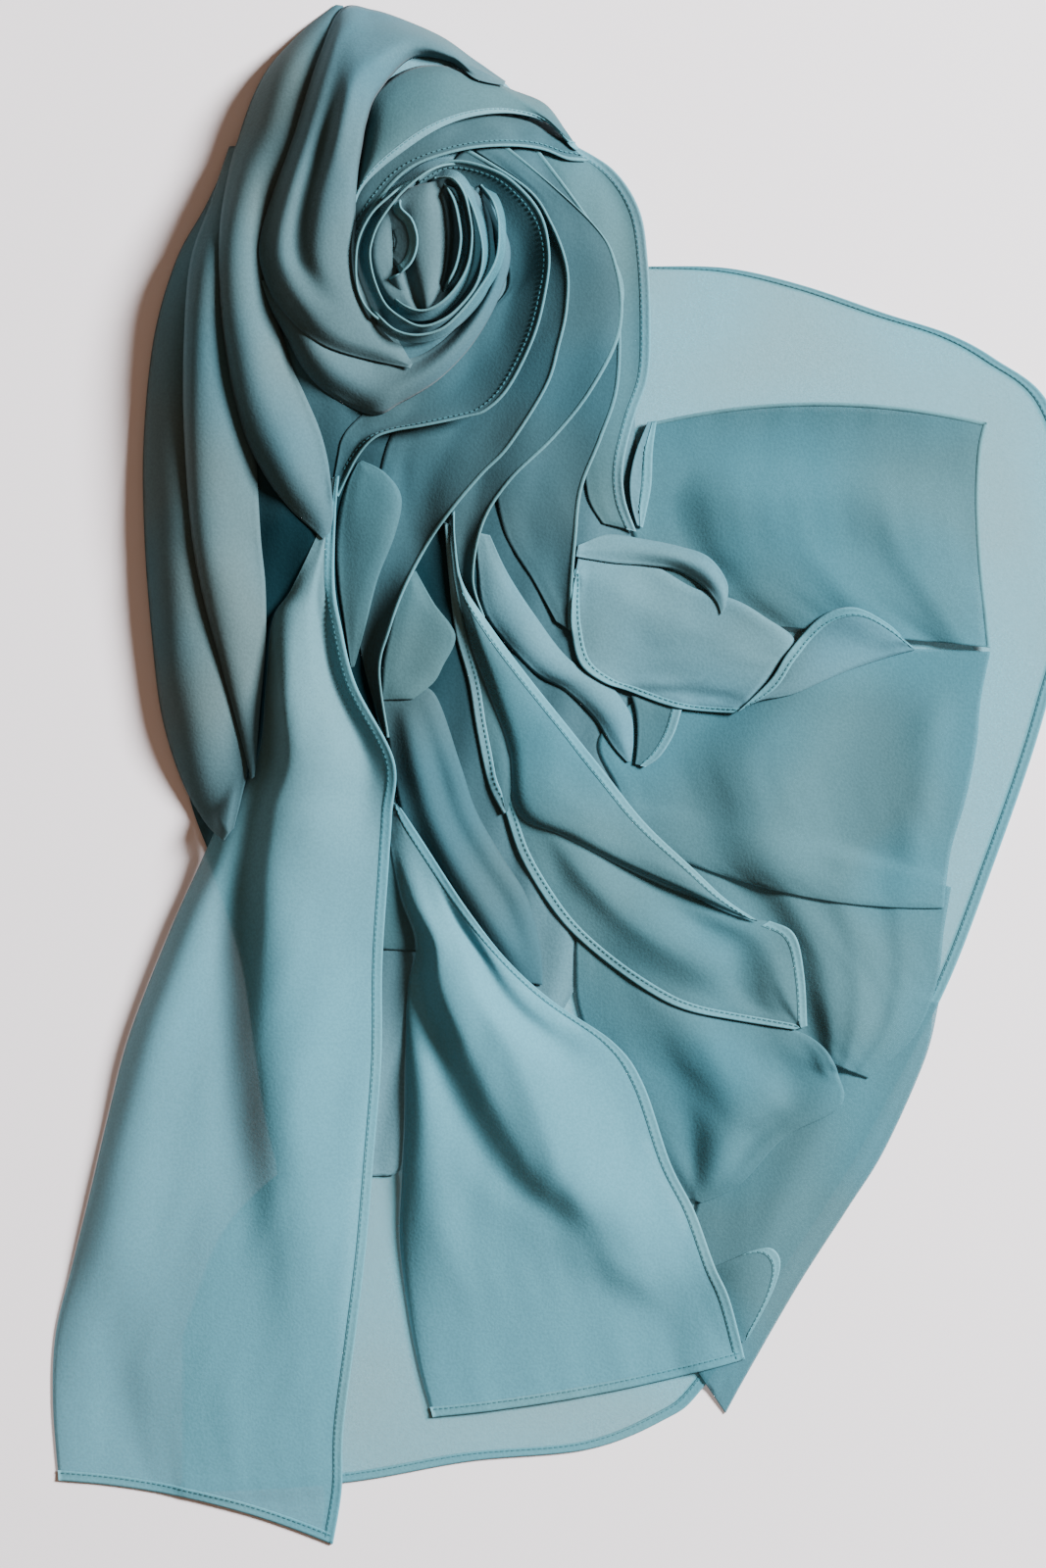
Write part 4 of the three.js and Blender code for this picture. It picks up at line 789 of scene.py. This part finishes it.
def atDistance(grid, distance):
    # points at a distance in from the first column, along the cloth
    steps = np.linalg.norm(np.diff(grid, axis=1), axis=2)
    run = np.concatenate([np.zeros((len(grid), 1)), np.cumsum(steps, axis=1)], axis=1)
    want = np.minimum(distance, 0.45 * run[:, -1])
    inside = np.maximum(want, 0)
    k = np.clip((run <= inside[:, None]).sum(axis=1) - 1, 0, grid.shape[1] - 2)
    r = np.arange(len(grid))
    share = (inside - run[r, k]) / np.maximum(run[r, k + 1] - run[r, k], 1e-6)
    here = grid[r, k] + (grid[r, k + 1] - grid[r, k]) * share[:, None]
    inward = grid[:, 1] - grid[:, 0]
    inward = inward / np.maximum(np.linalg.norm(inward, axis=1, keepdims=True), 1e-6)
    return here + inward * np.minimum(want, 0)[:, None]


def unit(v):
    return v / np.maximum(np.linalg.norm(v, axis=-1, keepdims=True), 1e-9)


def smoothPath(path, passes=2):
    for _ in range(passes):
        path = np.concatenate([path[:1], (path[:-2] + 2 * path[1:-1] + path[2:]) / 4, path[-1:]])
    return path


def makeHem(name, points, side, tone, node, span=(0, 1)):
    # a closed band along a side of the cloth, and the line for its stitches
    grid = edgeOf(points, side)
    low, high = int(span[0] * (len(grid) - 1)), int(span[1] * (len(grid) - 1)) + 1
    grid = grid[low:high]
    along = unit(np.gradient(grid[:, 0], axis=0))
    inner = atDistance(grid, hem["width"])
    inward = unit(inner - grid[:, 0] + 1e-6)
    upright = np.cross(along, inward)
    upright = unit(upright * np.sign(upright[:, 2:3] + 1e-9))
    upright = unit(smoothPath(upright, 4))
    shape = hem["narrow" if hemOf[tone] == "rim" else "profile"]
    ring = np.stack([atDistance(grid, d) + upright * h for d, h in shape], axis=1)
    rows, cols = ring.shape[:2]
    faces = gridFaces(rows, cols, aroundToo=True)
    ends = [np.arange(cols)[::-1], (rows - 1) * cols + np.arange(cols)]
    vertices = toTable(ring).reshape(-1, 3)
    mesh = bpy.data.meshes.new(name)
    mesh.from_pydata(vertices.tolist(), [], faces.tolist() + [e.tolist() for e in ends])
    mesh.polygons.foreach_set("use_smooth", np.ones(len(mesh.polygons), bool))
    mesh.update()
    turnOut(mesh)
    band = bpy.data.objects.new(name, mesh)
    bpy.context.scene.collection.objects.link(band)
    dress(band, hemTones[hemOf[tone]], node)
    record(ring[:, 1:6])
    line = atDistance(grid, hem["stitchAt"])
    wide = np.linalg.norm(inner - grid[:, 0], axis=1) > hem["stitchRoom"]
    return band, line, upright, wide


def turnOut(mesh):
    # turns a closed mesh's faces outwards by the sign of its volume
    count = len(mesh.vertices)
    places = np.empty(3 * count)
    mesh.vertices.foreach_get("co", places)
    places = places.reshape(-1, 3)
    mesh.calc_loop_triangles()
    corners = np.empty(3 * len(mesh.loop_triangles), np.int32)
    mesh.loop_triangles.foreach_get("vertices", corners)
    a, b, c = (places[corners.reshape(-1, 3)[:, k]] for k in range(3))
    if (a * np.cross(b, c)).sum() < 0:
        mesh.flip_normals()


def makeStitches(name, lines, node):
    # short dashes of thread along lines of (points, upright, wide enough)
    length, width, height = hem["stitchSize"]
    corner = np.array([(x, y, z) for x in (-1, 1) for y in (-1, 1) for z in (-1, 1)]) / 2
    box = np.array([(0, 1, 3, 2), (4, 6, 7, 5), (0, 4, 5, 1), (2, 3, 7, 6), (0, 2, 6, 4), (1, 5, 7, 3)])
    places, turns = [], []
    for line, upright, wide in lines:
        run = np.concatenate([[0], np.cumsum(np.linalg.norm(np.diff(line, axis=0), axis=1))])
        at = np.arange(hem["stitchPitch"], run[-1] - 1, hem["stitchPitch"])
        if len(at) == 0:
            continue
        middle = np.stack([np.interp(at, run, line[:, k]) for k in range(3)], -1)
        ahead = np.stack([np.interp(at + 0.6, run, line[:, k]) for k in range(3)], -1)
        up = unit(np.stack([np.interp(at, run, upright[:, k]) for k in range(3)], -1))
        keep = np.interp(at, run, wide.astype(float)) > 0.5
        forward = unit(ahead - middle)
        side = unit(np.cross(up, forward))
        places.append((middle + up * hem["stitchLift"])[keep])
        turns.append(np.stack([forward, side, up], 1)[keep])
    middle, turn = np.concatenate(places), np.concatenate(turns)
    local = corner * (length, width, height)
    points = middle[:, None] + np.einsum("vk,nkj->nvj", local, turn)
    faces = (box[None] + 8 * np.arange(len(middle))[:, None, None]).reshape(-1, 4)
    piece = buildMesh(name, points, faces, smooth=False)
    turnOut(piece.data)
    return dress(piece, hemTones["stitch"], node)


# Which piece lies uppermost over each cell of the pile, by its place in names
owner = np.full(pile.shape, -1)
names = []


def restsOn(points, name):
    # up to three pieces that lie uppermost under these points, the commonest
    # first, each under more than 12 of them
    x = np.clip(np.rint(points[..., 0]).astype(int), 0, table["across"] - 1).ravel()
    y = np.clip(np.rint(points[..., 1]).astype(int), 0, table["down"] - 1).ravel()
    under = owner[y, x]
    found, count = np.unique(under[under >= 0], return_counts=True)
    order = np.argsort(-count)[:3]
    below = [names[found[k]] for k in order if count[k] > 12]
    names.append(name + "_cloth")
    owner[y, x] = len(names) - 1
    return below or ["tableTop"]


def foldLift(fold, u, v):
    # a ridge with a bell profile, along a quadratic path, fading at its ends;
    # its right flank is the steeper if lean is positive, and its left if negative
    start, middle, end, rise, width, lean, first, last = fold
    w = (v - first) / (last - first)
    path = start * (1 - w) * (1 - 2 * w) + middle * 4 * w * (1 - w) + end * w * (2 * w - 1)
    away = u - path
    flank = width * (1 - lean * np.sign(away))
    return rise * ease(w / 0.3) * ease((1 - w) / 0.3) * np.exp(-(away / flank) ** 2)


def ripples(spec, u, v, width, length):
    # fine soft ridges that run along the stretch, uneven in depth and length
    random = np.random.default_rng(sum(ord(letter) for letter in spec["name"]))
    total = np.zeros(np.broadcast(u, v).shape)
    turn = 6.28
    waves = (31.0, 19.0, 12.0)       # lengths in millimetres
    for wave in waves:
        phase, bend, fade = random.uniform(0, turn, 4)[:3]
        crosswise = width * u / wave * turn
        sway = 1.1 * np.sin(v * length / (5 * wave) * turn + bend)
        strength = 0.5 + 0.5 * np.sin(v * length / (4 * wave) * turn + fade)
        total = total + np.sin(crosswise + sway + phase) * strength * wave / waves[0]
    return total


def laySheet(spec):
    # lays a stretch on the pile, with its hems and stitches
    bows = spec.get("bow") or [0] * len(spec["sections"])
    sections = np.column_stack([np.array(spec["sections"], float), bows])
    ends = sections[:, :2].copy(), sections[:, 3:5].copy()
    run = max(np.linalg.norm(np.diff(side, axis=0), axis=1).sum() for side in ends)
    widest = np.hypot(*(ends[1] - ends[0]).T).max()
    rows = int(np.clip(run / cloth["spacing"], *cloth["rows"]))
    cols = int(np.clip(widest / cloth["spacing"], *cloth["cols"]))
    v = np.linspace(0, 1, rows)
    read = curve(sections, v)
    la, ld, ll, ra, rd, rl, crown, bow = (read[:, k:k + 1] for k in range(8))
    v = v[:, None]
    u = np.linspace(0, 1, cols)[None]
    width = np.hypot(ra - la, rd - ld)
    bulge = bow * 4 * u * (1 - u) / np.maximum(width, 1)
    across = la + (ra - la) * u - bulge * (rd - ld)
    down = ld + (rd - ld) * u + bulge * (ra - la)
    lift = ll * (1 - u) + rl * u + crown * 4 * u * (1 - u)
    for fold in spec["folds"]:
        lift = lift + foldLift(fold, u, v)
    lift = lift + spec.get("ripple", 0.15) * ripples(spec, u, v, width, run) * ease(width / 25)
    reach = spec.get("reach", cloth["rollReach"])
    for side, distance, roll in (("left", u * width, spec.get("leftReach", reach)),
                                 ("right", (1 - u) * width, reach)):
        if spec[side] == "fold":
            share = np.minimum(distance / roll, 1)
            lift = lift * np.sqrt(1 - (1 - share) ** 2)
    # the lift counts from the smoothed pile, and the cloth stays above a
    # widened one, down to which its edges come
    ground, floor = 0, cloth["lowestTop"]
    if spec["name"] != "under_sheet":
        ground = sample(blur(pile, 4, 5), across, down)
        floor = above(3, 3, across, down) + cloth["gap"]
        inside = np.minimum(np.minimum(u, 1 - u) * width, np.minimum(v, 1 - v) * run)
        touching = above(1, 1, across, down) + cloth["gap"] / 2
        floor = touching + (floor - touching) * ease(inside / cloth["edgeReach"])
    clear = (ground + np.maximum(lift, 0) - floor) / cloth["softness"]
    height = floor + cloth["softness"] * np.logaddexp(0, clear) * ease(clear / 4 + 1.5)
    points = np.stack([across, down, height], -1)
    below = restsOn(points, spec["name"])
    tone = spec["tone"]
    piece, area, length = surfaceGrid(spec["name"] + "_cloth", points, tones[tone], spec["name"])
    record(points)
    others, lines = [], []
    sides = [side for side in ("left", "right") if spec[side] == "hem"] + spec.get("hemEnds", [])
    for side in sides:
        span = spec.get("hemSpan", {}).get(side, (0, 1))
        band, line, upright, wide = makeHem(f"{spec['name']}_hem_{side}", points, side,
                                            spec.get("hemTone", tone), spec["name"], span)
        others.append(band)
        lines.append((line, upright, wide))
    if lines and spec.get("stitched", True):
        others.append(makeStitches(spec["name"] + "_stitches", lines, spec["name"]))


# The hidden layers, from the top of the rose downwards. A row is (down, left,
# right, height, where the peak is as a share across).
coreSections = [
    (14, 134, 172, 4, 0.5),
    (26, 114, 196, 14, 0.5),
    (42, 105, 214, 22, 0.5),
    (66, 96, 236, 27, 0.5),
    (90, 86, 252, 29, 0.48),
    (116, 76, 256, 29, 0.46),
    (144, 71, 258, 28, 0.42),
    (172, 69, 259, 24, 0.38),
    (200, 67, 259, 20, 0.34),
    (232, 67, 259, 17, 0.34),
    (264, 69, 259, 14, 0.34),
    (296, 72, 259, 12, 0.34),
    (328, 78, 257, 10, 0.36),
    (360, 90, 251, 8, 0.38),
    (392, 100, 240, 6.5, 0.4),
    (424, 105, 222, 5, 0.42),
    (456, 110, 192, 3.4, 0.45),
    (480, 116, 160, 2.2, 0.5),
]
roseMiddle = (177, 104)
bowl = {"reach": 27, "depth": 5}     # the hollow under the rose's middle


def layCore():
    # a low mound, rounded across, with folds of its own
    sections = np.array(coreSections, float)
    rows, cols = 180, 84
    down, left, right, tall, peak = curve(sections, np.linspace(0, 1, rows)).T[..., None]
    u = (0.5 - 0.5 * np.cos(np.pi * np.linspace(0, 1, cols)))[None]
    across = left + (right - left) * u
    down = down + 0 * u
    side = np.where(u < peak, peak, 1 - peak)
    rounded = np.maximum(1 - (np.abs(u - peak) / side) ** 2, 0) ** 0.8
    away = np.hypot(across - roseMiddle[0], (down - roseMiddle[1]) * 0.8) / bowl["reach"]
    dip = bowl["depth"] * (1 - ease(away))
    folds = 0.9 * np.sin(across / 5.2 + 1.6 * np.sin(down / 23)) * np.sin(down / 31 + across / 40)
    folds = folds + 0.5 * np.sin(across / 2.9 + down / 17)
    height = 1.2 + np.maximum(tall - 1.6, 0) * rounded - dip + folds * ease(rounded * 3)
    under = above(3, 3, across, down) + cloth["gap"]
    points = np.stack([across, down, np.maximum(height, under)], -1)
    below = restsOn(points, "hidden_layers")
    # the hidden layers wear the tone of painted shade for the hollows
    piece, area, length = surfaceGrid("hidden_layers_cloth", points, tones["hollowShade"], "hidden_layers")
    record(points)


# The rose's rings and its heart's curl: strips of cloth on edge. A rim is a
# row of points (across, down, height). lean is how far the foot stands out from
# the rim, away from the strip's middle, and depth how far below the rim it is.
strip = {
    "spacing": 1.4,
    "cols": 14,
    "flare": 1.3,            # the power by which it leans out, rim to foot
    "droop": 6,              # how far the strip's two ends come down
    "droopShare": 0.12,      # and over what share of it
}
roseStrips = [
    {
        "name": "ring_one", "node": "rose_ring", "tone": "ringed", "lean": 2, "depth": 8,
        "rim": [(168.4, 76.5, 35), (160, 83.5, 37), (152.4, 91, 38), (147.4, 101.2, 38.5),
                (146.2, 112.4, 38.5), (147.4, 122.4, 38), (152, 130.4, 37), (161.2, 136.8, 36)],
    },
    {
        "name": "ring_two", "node": "rose_ring", "tone": "ringed", "lean": 5, "depth": 9,
        "rim": [(190, 69.6, 34), (181.2, 71, 36), (173.2, 75.2, 37.5), (164, 83.2, 38.5), (156, 94, 39),
                (152.6, 102.4, 39), (152, 109.2, 39), (154, 118.4, 38.5), (158.4, 127.6, 38),
                (166, 133.6, 38), (172.4, 136, 38), (179.2, 134.4, 38), (186.4, 129.6, 38),
                (194.4, 119.6, 38.5), (197.2, 107.6, 39), (195.2, 95, 39), (190.4, 82.4, 38.5),
                (184, 76, 38)],
    },
    {
        "name": "ring_three", "node": "rose_ring", "tone": "ringed", "lean": 3, "depth": 5,
        "rim": [(149.4, 124, 36.5), (156, 132.4, 36.5), (162.4, 137.6, 36), (170.4, 139.4, 36),
                (179.2, 137.6, 36), (186, 132.6, 36.5), (194.6, 122.4, 37), (202.4, 109.2, 37),
                (203.6, 95.6, 36.5), (201.4, 86, 35.5), (196.4, 78.4, 34.5)],
    },
    {
        "name": "ring_four", "node": "rose_ring", "tone": "ringed", "lean": 4, "depth": 5,
        "rim": [(178, 76, 37.5), (185.2, 76.8, 38), (189.4, 82.2, 38), (191.6, 90, 38), (192.8, 99.2, 38),
                (191.4, 110.4, 37.5), (187, 119.4, 37), (180.4, 126.4, 36.5), (173, 129.6, 36),
                (165.4, 127.4, 36), (160, 122.4, 36)],
    },
    {
        "name": "ring_five", "node": "heart_back", "tone": "ringed", "lean": 3, "depth": 5,
        "rim": [(181.6, 78.4, 37), (185.4, 85.2, 37.5), (187.4, 93.2, 37.5), (188.2, 102, 37),
                (186, 112.4, 36), (181.4, 121, 35)],
    },
    {
        "name": "heart_curl_strip", "node": "heart_curl", "tone": "solid", "lean": 9, "depth": 5,
        "middle": (186, 101),
        "rim": [(164.4, 84.2, 37), (164.4, 88.4, 37.5), (168.8, 93.2, 38), (171, 101.2, 38),
                (169.2, 109.2, 37.5), (164.4, 114.4, 36.5), (158, 116.8, 36)],
    },
]


def standStrip(spec):
    # stands a strip on its foot, with a hem along its rim, and its ends lower
    rim = np.array(spec["rim"], float)
    run = np.linalg.norm(np.diff(rim, axis=0), axis=1).sum()
    rows = int(run / strip["spacing"])
    path = curve(rim, np.linspace(0, 1, rows))
    forward = unit(np.gradient(path[:, :2], axis=0))
    outward = np.stack([-forward[:, 1], forward[:, 0]], -1)
    away = path[:, :2] - np.array(spec.get("middle", roseMiddle))
    outward = outward * np.sign((outward * away).sum(axis=1, keepdims=True))
    t = np.linspace(0, 1, strip["cols"])[None, :, None]
    flat = path[:, None, :2] + outward[:, None] * spec["lean"] * t ** strip["flare"]
    share = np.linspace(0, 1, rows)[:, None, None]
    ends = strip["droopShare"]
    droop = strip["droop"] * (2 - ease(share / ends) - ease((1 - share) / ends))
    height = path[:, None, 2:] - droop - spec["depth"] * t
    points = np.concatenate([flat, height], -1)
    below = restsOn(points, spec["name"])
    tone = spec["tone"]
    piece, area, length = surfaceGrid(spec["name"] + "_cloth", points, tones[tone], spec["node"])
    band = makeHem(spec["name"] + "_hem", points, "left", tone, spec["node"])[0]


# Everything is laid in order, lowest first
for place, spec in enumerate(stretches):
    if place == 1:
        layCore()
    laySheet(spec)
    print("laid", spec["name"])
for spec in roseStrips:
    standStrip(spec)
print("rose wound")

# The table: pale, matt and slightly pink
tableTop = {"size": 6.0, "colour": "#f1eae9", "roughness": 0.7}


def makeTable():
    half = tableTop["size"] / 2
    mesh = bpy.data.meshes.new("tableTop")
    corners = [(-half, -half, 0), (half, -half, 0), (half, half, 0), (-half, half, 0)]
    mesh.from_pydata(corners, [], [(0, 1, 2, 3)])
    plane = bpy.data.objects.new("tableTop", mesh)
    bpy.context.scene.collection.objects.link(plane)
    material = bpy.data.materials.new("paintedBoard")
    material.use_nodes = True
    look = material.node_tree.nodes["Principled BSDF"]
    look.inputs["Base Color"].default_value = linear(tableTop["colour"])
    look.inputs["Roughness"].default_value = tableTop["roughness"]
    mesh.materials.append(material)
    return plane


makeTable()

# A window to the upper right, and the warm light of the room
lights = {
    "window": {"at": (2.8, 1.2, 2.0), "size": 1.1, "watts": 640, "colour": "#f4f8ff"},
    "room": {"colour": "#ffd2b6", "strength": 0.25},
}


def aim(thing, target):
    direction = Vector(target) - thing.location
    thing.rotation_euler = direction.to_track_quat("-Z", "Y").to_euler()


def makeLights():
    window = lights["window"]
    data = bpy.data.lights.new("window", "AREA")
    data.shape = "DISK"
    data.size = window["size"]
    data.energy = window["watts"]
    data.color = linear(window["colour"])[:3]
    lamp = bpy.data.objects.new("window", data)
    lamp.location = window["at"]
    bpy.context.scene.collection.objects.link(lamp)
    aim(lamp, (0, 0, 0))
    world = bpy.data.worlds.new("room")
    world.use_nodes = True
    background = world.node_tree.nodes["Background"]
    background.inputs["Color"].default_value = linear(lights["room"]["colour"])
    background.inputs["Strength"].default_value = lights["room"]["strength"]
    bpy.context.scene.world = world


makeLights()

# The camera looks straight down, as the photo does
camera = {"height": 2.4, "across": 213.4, "down": 320.0, "sensor": 36.0, "frame": 0.640}


def makeCamera():
    data = bpy.data.cameras.new("overhead")
    data.sensor_fit = "VERTICAL"
    data.sensor_height = camera["sensor"]
    data.sensor_width = camera["sensor"]
    data.lens = camera["sensor"] * camera["height"] / camera["frame"]
    data.clip_start = 0.1
    data.clip_end = 20
    overhead = bpy.data.objects.new("overhead", data)
    overhead.location = ((camera["across"] - table["middleAcross"]) / 1000,
                         (table["middleDown"] - camera["down"]) / 1000, camera["height"])
    bpy.context.scene.collection.objects.link(overhead)
    bpy.context.scene.camera = overhead


makeCamera()
print("stage set")
